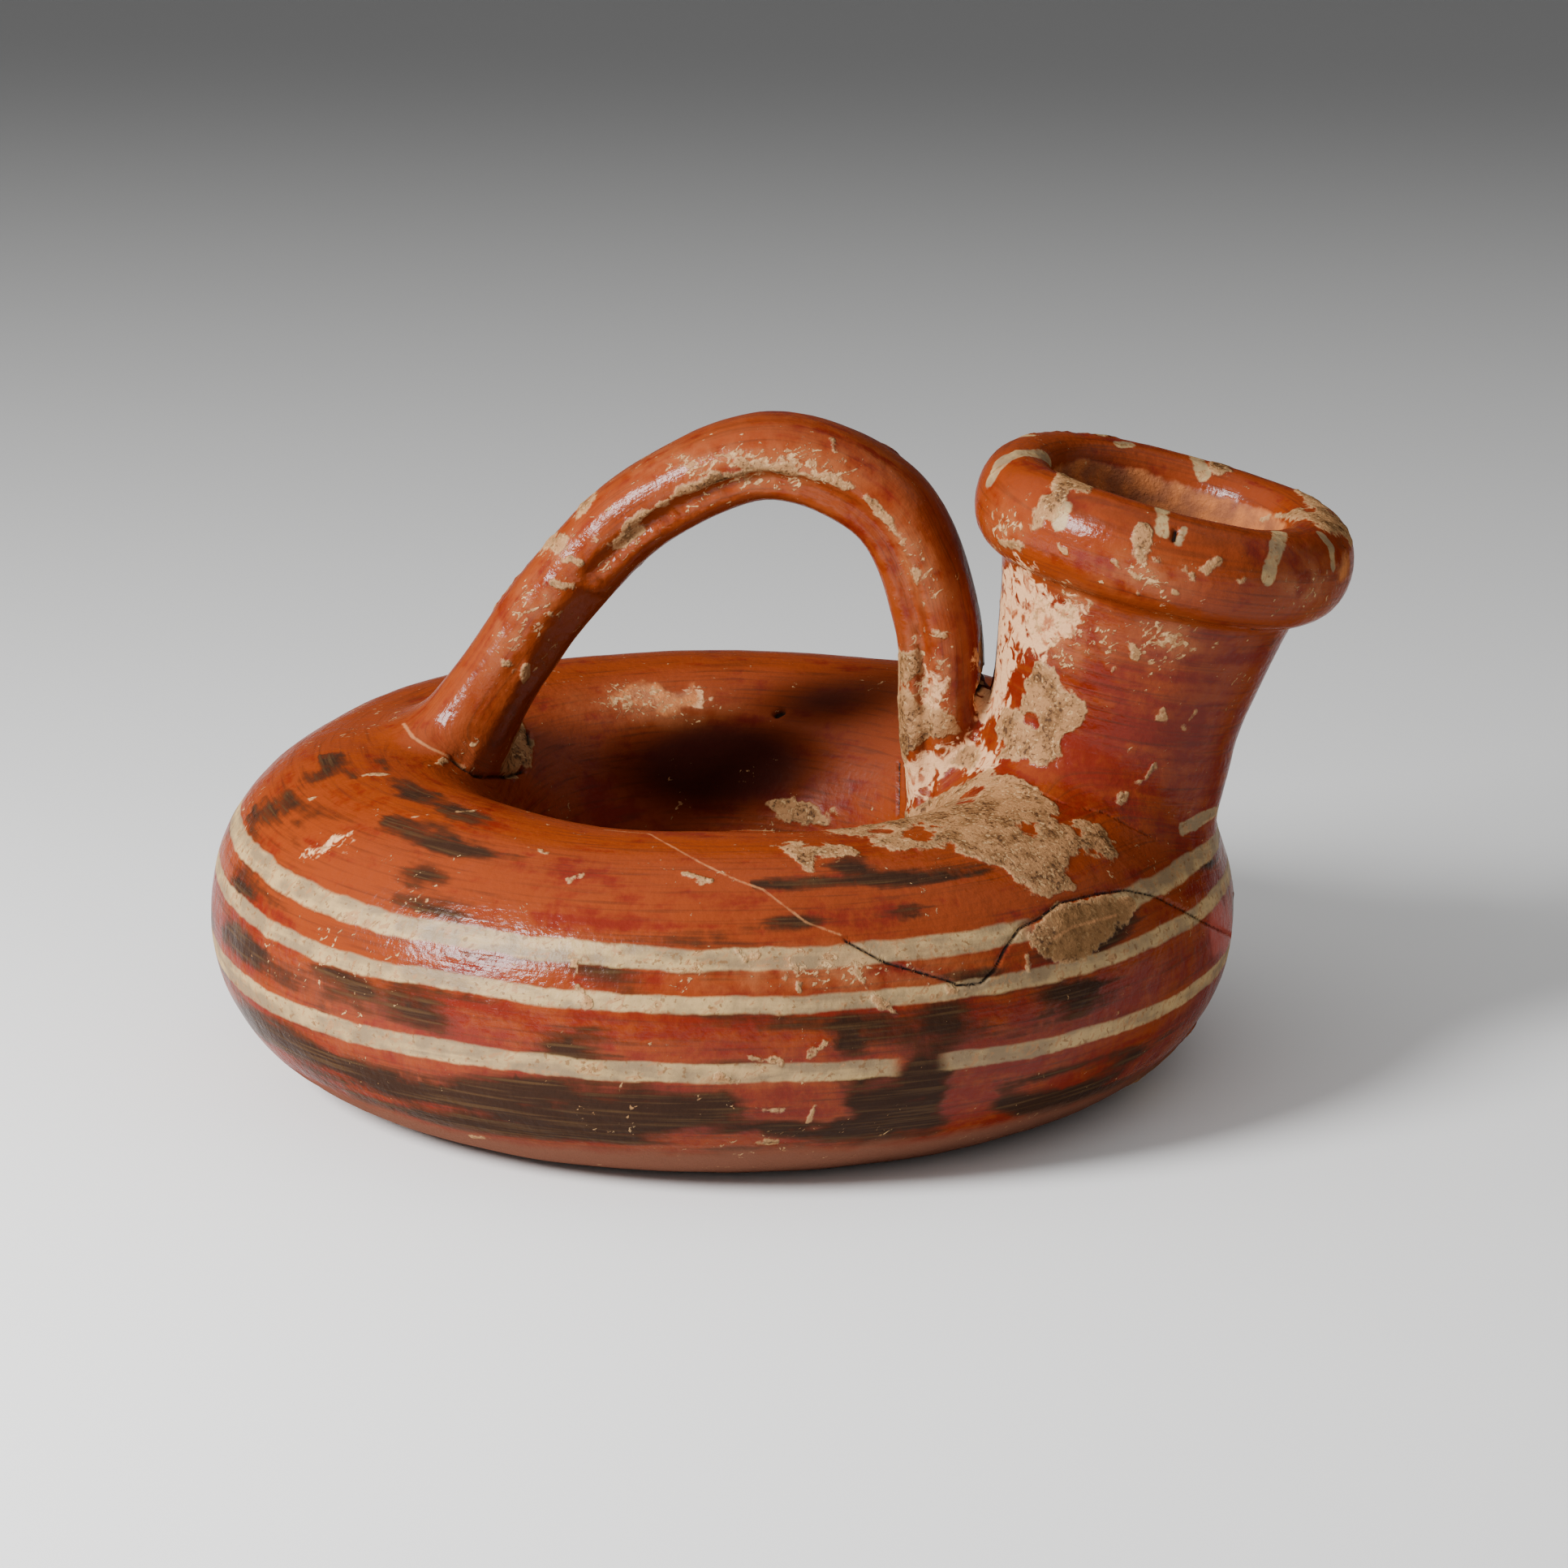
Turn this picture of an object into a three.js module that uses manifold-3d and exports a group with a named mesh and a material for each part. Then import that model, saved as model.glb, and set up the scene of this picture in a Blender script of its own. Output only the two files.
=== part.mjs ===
// A ring askos: a small pouring vessel of fired clay, made as one hollow piece.
// A hollow ring stands on a flat foot. A neck flares up from it and leans outwards under a thick rolled lip,
// and a grooved strap handle arches over the hole from the neck's foot to the far side of the ring.
// Units are millimetres and +Z is up. The neck and the handle stand over the XZ plane, the neck towards +X.

import * as THREE from "three";
import { mergeVertices } from "three/addons/utils/BufferGeometryUtils.js";
import Module from "manifold-3d";

// Driving dimensions of the ring. Its section is a rounded oval about a middle point.
const RING_OUTER_RADIUS = 60;
const RING_MID_RADIUS = 41;
const RING_HOLE_RADIUS = 22;
const RING_MID_HEIGHT = 16.8;
const RING_HEIGHT = 36.9;
const RING_SQUARENESS = 2.08;
const FOOT_CUT = 0.6; // how much of the oval's underside is flattened away into the foot
const WALL = 4.5;
const RING_TURNS = 60;
const RING_SIDE_STEPS = 28;
const CAVITY_TURNS = 40;
const CAVITY_SIDE_STEPS = 16;

// The neck turns about its own axis, which leaves the ring at its root and leans towards the outside.
const NECK_ROOT = new THREE.Vector3(46, 0, 41.4);
const NECK_LEAN = THREE.MathUtils.degToRad(12.6);
const NECK_LEAN_TURN = THREE.MathUtils.degToRad(3);
const NECK_WAIST_RADIUS = 14.2;
const NECK_TOP_RADIUS = 17.4;
const NECK_FLARE_POWER = 1.4;
const NECK_TOP = 17;
const NECK_SUNK = 17;
const NECK_WALL = 4;
const NECK_TURNS = 40;
const NECK_STEPS = 9;
const BORE_TURNS = 32;
const BORE_STEPS = 6;
// The clay smeared out around the neck's root, widest on the side of the hole.
const NECK_FOOT_SPREAD = 5;
const NECK_FOOT_FROM = -7;
const NECK_FOOT_TO = 7;

// The rolled lip is an oval bead around the neck's mouth.
const LIP_MID_RADIUS = 17.4;
const LIP_MID = 22.8;
const LIP_HALF_WIDTH = 4.8;
const LIP_HALF_HEIGHT = 5.7;
const LIP_STEPS = 14;
const MOUTH_CLEARANCE = 2; // how far the way in runs on past the lip's top

// The handle's centre line, in the XZ plane, from the ring's far side over the hole to the neck's foot.
const HANDLE_LINE = [
  [-32, 34.6],
  [-25, 45.7],
  [-17.9, 55.4],
  [-8, 65],
  [6.4, 70.8],
  [19.6, 65.3],
  [25.2, 52.4],
  [25.9, 41.5],
  [26.6, 33],
  [29.5, 23],
];
const HANDLE_OFFSET_Y = 1.0;
const HANDLE_WIDTH = 14;
const HANDLE_THICKNESS = 9.7;
const HANDLE_SQUARENESS = 2.5;
const HANDLE_GROOVE_DEPTH = 0.16; // share of the half width
const HANDLE_GROOVE_AT = -0.3; // share of the half thickness, from the middle towards the hole
const HANDLE_GROOVE_HALF_SPAN = 0.22;
const HANDLE_STEPS = 34;
const HANDLE_SECTION_POINTS = 20;
const HANDLE_ROOT_SPREAD = 0.3;
const HANDLE_ROOT_REACH = 13;

const MERGE_TOLERANCE = 1e-3;
const CLAY = new THREE.MeshStandardMaterial({ color: 0xa8441c, roughness: 0.45, metalness: 0 });

const wasm = await Module();
wasm.setup();

// A closed geometry as a solid that can be joined and cut.
function solid(geometry) {
  const bare = new THREE.BufferGeometry();
  bare.setAttribute("position", geometry.getAttribute("position"));
  bare.setIndex(geometry.index);
  const merged = mergeVertices(bare, MERGE_TOLERANCE);
  return new wasm.Manifold(
    new wasm.Mesh({
      numProp: 3,
      vertProperties: merged.getAttribute("position").array,
      triVerts: new Uint32Array(merged.index.array),
    }),
  );
}

// A solid as a geometry again.
function geometryOf(made) {
  const { vertProperties, triVerts } = made.getMesh();
  const geometry = new THREE.BufferGeometry();
  geometry.setAttribute("position", new THREE.BufferAttribute(vertProperties, 3));
  geometry.setIndex(new THREE.BufferAttribute(triVerts, 1));
  geometry.computeVertexNormals();
  return geometry;
}

// A profile of [radius, height] turned about +Z.
function turned(profile, turns) {
  const points = profile.map(([radius, height]) => new THREE.Vector2(radius, height));
  return new THREE.LatheGeometry(points, turns).rotateX(Math.PI / 2);
}

// One coordinate of a rounded oval: the half size times a power of a cosine or sine that keeps its sign.
function rounded(half, wave, squareness) {
  return half * Math.sign(wave) * Math.abs(wave) ** (2 / squareness);
}

// The closed section of the ring, less an inset all round: from the foot's outer edge over the top to its
// inner edge, and straight back.
function ringProfile(inset, foot, steps) {
  const outward = RING_OUTER_RADIUS - RING_MID_RADIUS - inset;
  const inward = RING_MID_RADIUS - RING_HOLE_RADIUS - inset;
  const upward = RING_HEIGHT - RING_MID_HEIGHT - inset;
  const downward = RING_MID_HEIGHT - foot + FOOT_CUT;
  const start = -Math.asin(((RING_MID_HEIGHT - foot) / downward) ** (RING_SQUARENESS / 2));
  const profile = [];
  for (let i = 0; i <= steps; i++) {
    const angle = start + ((Math.PI - 2 * start) * i) / steps;
    const [across, along] = [Math.cos(angle), Math.sin(angle)];
    profile.push([
      RING_MID_RADIUS + rounded(across > 0 ? outward : inward, across, RING_SQUARENESS),
      RING_MID_HEIGHT + rounded(along > 0 ? upward : downward, along, RING_SQUARENESS),
    ]);
  }
  profile.push(profile[0]);
  return profile;
}

// Stands a shape that was made about +Z on the neck's root, along the neck's leaning axis.
function onNeck(geometry) {
  return geometry
    .rotateY(NECK_LEAN)
    .rotateZ(NECK_LEAN_TURN)
    .translate(NECK_ROOT.x, NECK_ROOT.y, NECK_ROOT.z);
}

// The neck's outer radius at a distance along its axis from the root: straight below it, then flaring.
function neckRadius(along) {
  const share = Math.max(along, 0) / NECK_TOP;
  return NECK_WAIST_RADIUS + (NECK_TOP_RADIUS - NECK_WAIST_RADIUS) * share ** NECK_FLARE_POWER;
}

// The neck's profile, less an inset all round, from the axis below the ring's wall to the axis at a top.
function neckProfile(inset, top, steps) {
  const profile = [[0, -NECK_SUNK]];
  for (let i = 0; i <= steps; i++) {
    const along = -NECK_SUNK + ((NECK_SUNK + NECK_TOP) * i) / steps;
    profile.push([neckRadius(along) - inset, along]);
  }
  profile.push([NECK_TOP_RADIUS - inset, top], [0, top]);
  return profile;
}

// The neck as a full plug of clay, its root spread out on every side but the outer one.
function neckPlug() {
  const geometry = turned(neckProfile(0, LIP_MID, NECK_STEPS), NECK_TURNS);
  const position = geometry.getAttribute("position");
  for (let i = 0; i < position.count; i++) {
    const [x, y, z] = [position.getX(i), position.getY(i), position.getZ(i)];
    const radius = Math.hypot(x, y);
    if (radius < NECK_WAIST_RADIUS / 2) continue;
    const falling = (1 - THREE.MathUtils.smoothstep(z, NECK_FOOT_FROM, NECK_FOOT_TO)) ** 2;
    const rising = THREE.MathUtils.smoothstep(z, -NECK_SUNK, NECK_FOOT_FROM);
    const inner = Math.sqrt((1 - x / radius) / 2);
    const grown = 1 + (NECK_FOOT_SPREAD * falling * rising * inner) / radius;
    position.setXY(i, x * grown, y * grown);
  }
  return solid(onNeck(geometry));
}

// The rolled lip.
function lipRoll() {
  const profile = [];
  for (let i = 0; i <= LIP_STEPS; i++) {
    const angle = (2 * Math.PI * i) / LIP_STEPS;
    profile.push([
      LIP_MID_RADIUS + LIP_HALF_WIDTH * Math.cos(angle),
      LIP_MID + LIP_HALF_HEIGHT * Math.sin(angle),
    ]);
  }
  return solid(onNeck(turned(profile, NECK_TURNS)));
}

// The way in: from the mouth down the neck and through the ring's wall.
function neckBore() {
  const top = LIP_MID + LIP_HALF_HEIGHT + MOUTH_CLEARANCE;
  return solid(onNeck(turned(neckProfile(NECK_WALL, top, BORE_STEPS), BORE_TURNS)));
}

// The handle's section: x across the strap, y from the hole outwards, with a groove along both edges.
function handleSection() {
  const shape = new THREE.Shape();
  for (let i = 0; i < HANDLE_SECTION_POINTS; i++) {
    const angle = (2 * Math.PI * i) / HANDLE_SECTION_POINTS;
    const height = rounded(1, Math.sin(angle), HANDLE_SQUARENESS);
    const fromGroove = (height - HANDLE_GROOVE_AT) / HANDLE_GROOVE_HALF_SPAN;
    const kept = 1 - HANDLE_GROOVE_DEPTH * Math.exp(-fromGroove * fromGroove);
    const width = rounded(1, Math.cos(angle), HANDLE_SQUARENESS) * kept;
    const point = [(width * HANDLE_WIDTH) / 2, (height * HANDLE_THICKNESS) / 2];
    if (i === 0) shape.moveTo(...point);
    else shape.lineTo(...point);
  }
  shape.closePath();
  return shape;
}

// The handle, swept along its line and spread out towards both roots.
function handleStrap() {
  const places = HANDLE_LINE.map(([x, z]) => new THREE.Vector3(x, HANDLE_OFFSET_Y, z));
  const line = new THREE.CatmullRomCurve3(places, false, "centripetal");
  const geometry = new THREE.ExtrudeGeometry(handleSection(), { steps: HANDLE_STEPS, extrudePath: line });
  const stations = line.getSpacedPoints(HANDLE_STEPS);
  const stationGap = line.getLength() / HANDLE_STEPS;
  const position = geometry.getAttribute("position");
  const vertex = new THREE.Vector3();
  for (let i = 0; i < position.count; i++) {
    vertex.fromBufferAttribute(position, i);
    const gaps = stations.map((station) => station.distanceTo(vertex));
    const nearest = gaps.indexOf(Math.min(...gaps));
    const fromEnd = Math.min(nearest, HANDLE_STEPS - nearest) * stationGap;
    const spread = HANDLE_ROOT_SPREAD * Math.max(0, 1 - fromEnd / HANDLE_ROOT_REACH) ** 2;
    vertex.lerpVectors(stations[nearest], vertex, 1 + spread);
    position.setXYZ(i, vertex.x, vertex.y, vertex.z);
  }
  return solid(geometry);
}

// The whole vessel: everything that is clay, less the space inside.
function askos() {
  const ring = solid(turned(ringProfile(0, 0, RING_SIDE_STEPS), RING_TURNS));
  const cavity = solid(turned(ringProfile(WALL, WALL, CAVITY_SIDE_STEPS), CAVITY_TURNS));
  const clay = ring.add(neckPlug()).add(lipRoll()).add(handleStrap());
  return geometryOf(clay.subtract(cavity.add(neckBore())));
}

const vessel = new THREE.Mesh(askos(), CLAY);
vessel.name = "askos";

// The origin is under the middle of the vessel's bounding box, on the surface that the foot stands on.
vessel.geometry.computeBoundingBox();
const middle = vessel.geometry.boundingBox.getCenter(new THREE.Vector3());
vessel.position.set(-middle.x, -middle.y, 0);

const group = new THREE.Group();
group.add(vessel);

export default group;
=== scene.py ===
"""The looks of a ring askos: a hollow clay ring with a leaning neck, a rolled lip and a strap handle.

Shapes are worked out in millimetres about the ring's own upright axis, and the finished piece is stood
in the row frame.
"""

import logging
import math
from dataclasses import dataclass, field
from enum import Enum
from typing import Callable, Union

import bpy
import numpy as np
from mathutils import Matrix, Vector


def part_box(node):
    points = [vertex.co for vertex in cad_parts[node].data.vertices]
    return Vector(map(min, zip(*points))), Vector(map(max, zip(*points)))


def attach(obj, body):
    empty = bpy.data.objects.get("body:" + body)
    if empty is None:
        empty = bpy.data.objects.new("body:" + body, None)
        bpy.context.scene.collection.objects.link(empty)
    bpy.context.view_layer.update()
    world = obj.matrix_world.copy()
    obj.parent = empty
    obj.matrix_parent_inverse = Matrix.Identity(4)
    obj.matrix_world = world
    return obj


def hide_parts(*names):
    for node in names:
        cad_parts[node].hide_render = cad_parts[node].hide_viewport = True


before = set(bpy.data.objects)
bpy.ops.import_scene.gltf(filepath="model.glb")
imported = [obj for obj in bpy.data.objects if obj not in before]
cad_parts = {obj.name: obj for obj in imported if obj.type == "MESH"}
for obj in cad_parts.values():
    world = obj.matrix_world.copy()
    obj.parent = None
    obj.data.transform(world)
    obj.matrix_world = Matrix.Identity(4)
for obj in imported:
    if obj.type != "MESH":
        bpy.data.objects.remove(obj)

import openvdb
from mathutils import Vector, noise

Array = np.ndarray
Distance = Callable[[Array], Array]
Pixel = tuple[float, float]
Span = tuple[float, float]
Triple = tuple[float, float, float]
Colour = tuple[float, float, float, float]
Recipe = tuple[tuple[str, float], ...]
Source = Union[bpy.types.NodeSocket, float, tuple[float, ...]]

NODE = "askos"
BODY = "root"
MM = 0.001
TINY = 1e-9
SEED_STEP: Triple = (17.3, 5.1, 9.7)
LATTICE_BAND = 3.0
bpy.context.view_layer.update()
LOG = logging.getLogger("askos")


def rise(value: Array, start: float, end: float) -> Array:
    """A smooth climb from 0 at the start to 1 at the end."""
    share = np.clip((value - start) / (end - start), 0.0, 1.0)
    return share * share * (3.0 - 2.0 * share)


def gap_to(points: Array, start: Array, end: Array) -> Array:
    """Distance from points to the straight line between two ends.

    Args:
        points: places or pixels.
        start: one end of the line.
        end: its other end.

    Returns:
        One distance for each of them.
    """
    way, off = end - start, points - start
    share = np.clip(off @ way / max(way @ way, TINY), 0.0, 1.0)
    return np.linalg.norm(off - share[:, None] * way, axis=1)


def soft_min(first: Array, second: Array, reach: Array | float) -> Array:
    """The lesser of two distances, with a fillet of a given reach where they meet."""
    share = np.clip(0.5 + 0.5 * (second - first) / reach, 0.0, 1.0)
    return second + (first - second) * share - reach * share * (1.0 - share)


def oval(
    across: Array, along: Array, half_across: Array | float, half_along: Array | float, power: float
) -> Array:
    """Signed distance, near enough, to a rounded oval.

    Args:
        across: first coordinate, from the oval's middle.
        along: second coordinate, from the oval's middle.
        half_across: the oval's half size in the first coordinate.
        half_along: the oval's half size in the second coordinate.
        power: how square the oval is; 2 is an ellipse.

    Returns:
        Distances that are negative inside.
    """
    first = np.abs(across) / half_across
    second = np.abs(along) / half_along
    size = np.maximum((first**power + second**power) ** (1.0 / power), TINY)
    slope = np.hypot(
        (first / size) ** (power - 1.0) / half_across,
        (second / size) ** (power - 1.0) / half_along,
    )
    return (size - 1.0) / np.maximum(slope, TINY)


@dataclass(frozen=True)
class Hump:
    """A soft swelling around an upright axis: its height, and its middle and spread in degrees."""

    height: float
    middle: float
    spread: float

    def at(self, angle: Array) -> Array:
        """The height at each angle."""
        off = np.cos(angle - math.radians(self.middle)) - 1.0
        return self.height * np.exp(off / math.radians(self.spread) ** 2)


@dataclass(frozen=True)
class Lumps:
    """Even, seeded noise: the size of its lumps in mm, their height, a seed and its mean level."""

    size: float
    height: float
    seed: float
    level: float = 0.0
    octaves: int = 3

    def at(self, points: Array) -> Array:
        """The noise at each point.

        Args:
            points: places about the ring's axis, in mm.

        Returns:
            One value for each point.
        """
        shift = Vector([self.seed * step for step in SEED_STEP])
        even = [noise.fractal(Vector(p) / self.size + shift, 1.0, 2.0, self.octaves) for p in points]
        return self.height * np.array(even) + self.level


@dataclass(frozen=True)
class Ring:
    """The hollow ring: a rounded oval turned about the upright axis and flattened into a foot."""

    mid_radius: float = 41.0
    mid_height: float = 16.8
    half_width: float = 19.0
    up: float = 20.1
    down: float = 17.4
    squareness: float = 2.08
    wall: float = 4.5
    foot_edge: float = 0.8
    crest_swell: Hump = Hump(0.4, 150.0, 40.0)
    crest_sag: Hump = Hump(0.8, -52.0, 30.0)
    crest_limit: float = 1.2
    belly_tuck: Hump = Hump(0.6, 188.0, 40.0)
    waver: float = 0.14
    # Each wave is by how often it comes in a turn, where it starts and how it shifts with the height.
    waves: tuple[Triple, ...] = ((5.0, 1.3, 0.1), (8.0, 0.0, -0.09))

    def distance(self, points: Array) -> Array:
        """Distance to the ring's outside, with the unevenness of hand building.

        Args:
            points: places about the ring's axis, in mm.

        Returns:
            Distances that are negative inside.
        """
        angle, height = np.arctan2(points[:, 1], points[:, 0]), points[:, 2]
        low = np.clip((self.mid_height - height) / self.down, 0.0, 1.0)
        lift = self.crest_swell.at(angle) - self.crest_sag.at(angle)
        lift = lift * np.clip((height - self.mid_height) / self.up, 0.0, self.crest_limit)
        tuck = self.belly_tuck.at(angle) * low
        waver = sum(np.sin(often * angle + start + climb * height) for often, start, climb in self.waves)
        lowered = points - np.stack([0.0 * lift, 0.0 * lift, lift], 1)
        skin = self._section(lowered, 0.0, self.down) + tuck + self.waver * waver * (1.0 - low)
        return -soft_min(-skin, height, self.foot_edge)

    def hollow(self, points: Array) -> Array:
        """Distance to the space inside the ring."""
        skin = self._section(points, self.wall, self.down - self.wall)
        return np.maximum(skin, self.wall - points[:, 2])

    def grain(self, points: Array, stretch: float) -> Array:
        """Each point's place in the run of the burnishing: around the ring, shortened, and across it.

        Args:
            points: places about the ring's axis, in mm.
            stretch: how much longer the run is drawn along than across.

        Returns:
            One place in the run for each point.
        """
        angle = np.arctan2(points[:, 1], points[:, 0])
        out = np.hypot(points[:, 0], points[:, 1]) - self.mid_radius
        turn = np.arctan2(points[:, 2] - self.mid_height, out)
        reach = self.mid_radius / stretch
        return np.stack([np.cos(angle) * reach, np.sin(angle) * reach, turn * self.half_width], 1)

    def _section(self, points: Array, inset: float, down: float) -> Array:
        """Distance to the ring's oval section, less an inset all round.

        Args:
            points: places about the ring's axis, in mm.
            inset: how far inside the ring's skin the section is.
            down: the section's half height below its middle.

        Returns:
            Distances that are negative inside.
        """
        out = np.hypot(points[:, 0], points[:, 1]) - self.mid_radius
        height = points[:, 2] - self.mid_height
        half_height = np.where(height > 0.0, self.up - inset, down)
        return oval(out, height, self.half_width - inset, half_height, self.squareness)


@dataclass(frozen=True)
class Neck:
    """The leaning neck with its rolled lip, turned about an axis of its own."""

    root: Triple = (46.0, 0.0, 41.4)
    lean: float = 12.6
    lean_turn: float = 3.0
    waist: float = 14.2
    top_radius: float = 17.4
    flare: float = 1.4
    top: float = 17.0
    sunk: float = 17.0
    wall: float = 4.0
    lip_radius: float = 17.4
    lip_mid: float = 22.8
    lip_half_width: float = 4.8
    lip_half_height: float = 5.7
    lip_crease: float = 0.9
    lip_squareness: float = 2.15
    lip_drawn_in: float = 0.4
    mouth_edge: float = 1.6
    back_swell: float = 0.5
    back_swell_span: Span = (16.0, 6.0)
    waver: float = 0.22
    waver_often: float = 3.0
    waver_start: float = 0.8
    waver_width: float = 0.5
    grain_start: float = 30.0

    def axes(self) -> Array:
        """The neck's own axes as rows: the way it leans, across it, and up along it.

        Returns:
            Three unit rows.
        """
        lean = math.radians(self.lean)
        turn = math.radians(self.lean_turn)
        ahead = np.array([math.cos(turn), math.sin(turn), 0.0])
        side = np.array([-math.sin(turn), math.cos(turn), 0.0])
        upward = np.array([0.0, 0.0, 1.0])
        return np.stack([
            ahead * math.cos(lean) - upward * math.sin(lean),
            side,
            ahead * math.sin(lean) + upward * math.cos(lean),
        ])

    def local(self, points: Array) -> tuple[Array, Array, Array]:
        """Turn about the neck's axis, distance from it and height along it."""
        own = (points - np.array(self.root)) @ self.axes().T
        return np.arctan2(own[:, 1], own[:, 0]), np.hypot(own[:, 0], own[:, 1]), own[:, 2]

    def radius(self, height: Array) -> Array:
        """The neck's plain radius at a height along its axis."""
        share = np.clip(height, 0.0, self.top) / self.top
        return self.waist + (self.top_radius - self.waist) * share**self.flare

    def distance(self, points: Array) -> Array:
        """Distance to the neck and lip, the neck still full of clay.

        Args:
            points: places about the ring's axis, in mm.

        Returns:
            Distances that are negative inside.
        """
        turn, out, height = self.local(points)
        behind = 0.5 - 0.5 * np.cos(turn)
        waver = self.waver * np.sin(self.waver_often * turn + self.waver_start)
        shaft = out - self.radius(height) - self.back_swell * behind * rise(height, *self.back_swell_span)
        shaft = np.maximum(np.maximum(shaft, -height - self.sunk), height - self.lip_mid)
        lip = oval(
            out - self.lip_radius + self.lip_drawn_in * behind,
            height - self.lip_mid - waver,
            self.lip_half_width + self.waver_width * waver,
            self.lip_half_height,
            self.lip_squareness,
        )
        return soft_min(shaft, lip, self.lip_crease)

    def way_in(self, points: Array, floor: float, ceiling: float, clearance: float) -> Array:
        """Distance to the bore between two heights along the axis.

        Args:
            points: places about the ring's axis, in mm.
            floor: the lowest height along the axis.
            ceiling: the greatest height along the axis.
            clearance: how much wider than the bore it is.

        Returns:
            Distances that are negative inside.
        """
        _, out, height = self.local(points)
        side = out - self.radius(height) + self.wall - clearance
        return np.maximum(np.maximum(side, floor - height), height - ceiling)

    def grain(self, points: Array, stretch: float) -> Array:
        """The run of the burnishing around the neck, set so that it meets the ring's.

        Args:
            points: places about the ring's axis, in mm.
            stretch: how much longer the run is drawn along than across.

        Returns:
            One place in the run for each point.
        """
        turn, out, height = self.local(points)
        reach = self.waist / stretch
        ahead = Ring.mid_radius / stretch
        across = height + out - self.waist + self.grain_start
        return np.stack([ahead + np.cos(turn) * reach, np.sin(turn) * reach, across], 1)

    def lip_point(self, turn: float, tilt: float) -> Array:
        """A point on the lip, by its turn about the axis and its tilt around the roll, in degrees.

        Args:
            turn: the turn about the neck's axis.
            tilt: the tilt around the roll, up from level.

        Returns:
            The point, about the ring's axis.
        """
        turn, tilt = math.radians(turn), math.radians(tilt)
        out = self.lip_radius + self.lip_half_width * math.cos(tilt)
        height = self.lip_mid + self.lip_half_height * math.sin(tilt)
        own = np.array([out * math.cos(turn), out * math.sin(turn), height])
        return np.array(self.root) + own @ self.axes()


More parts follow.
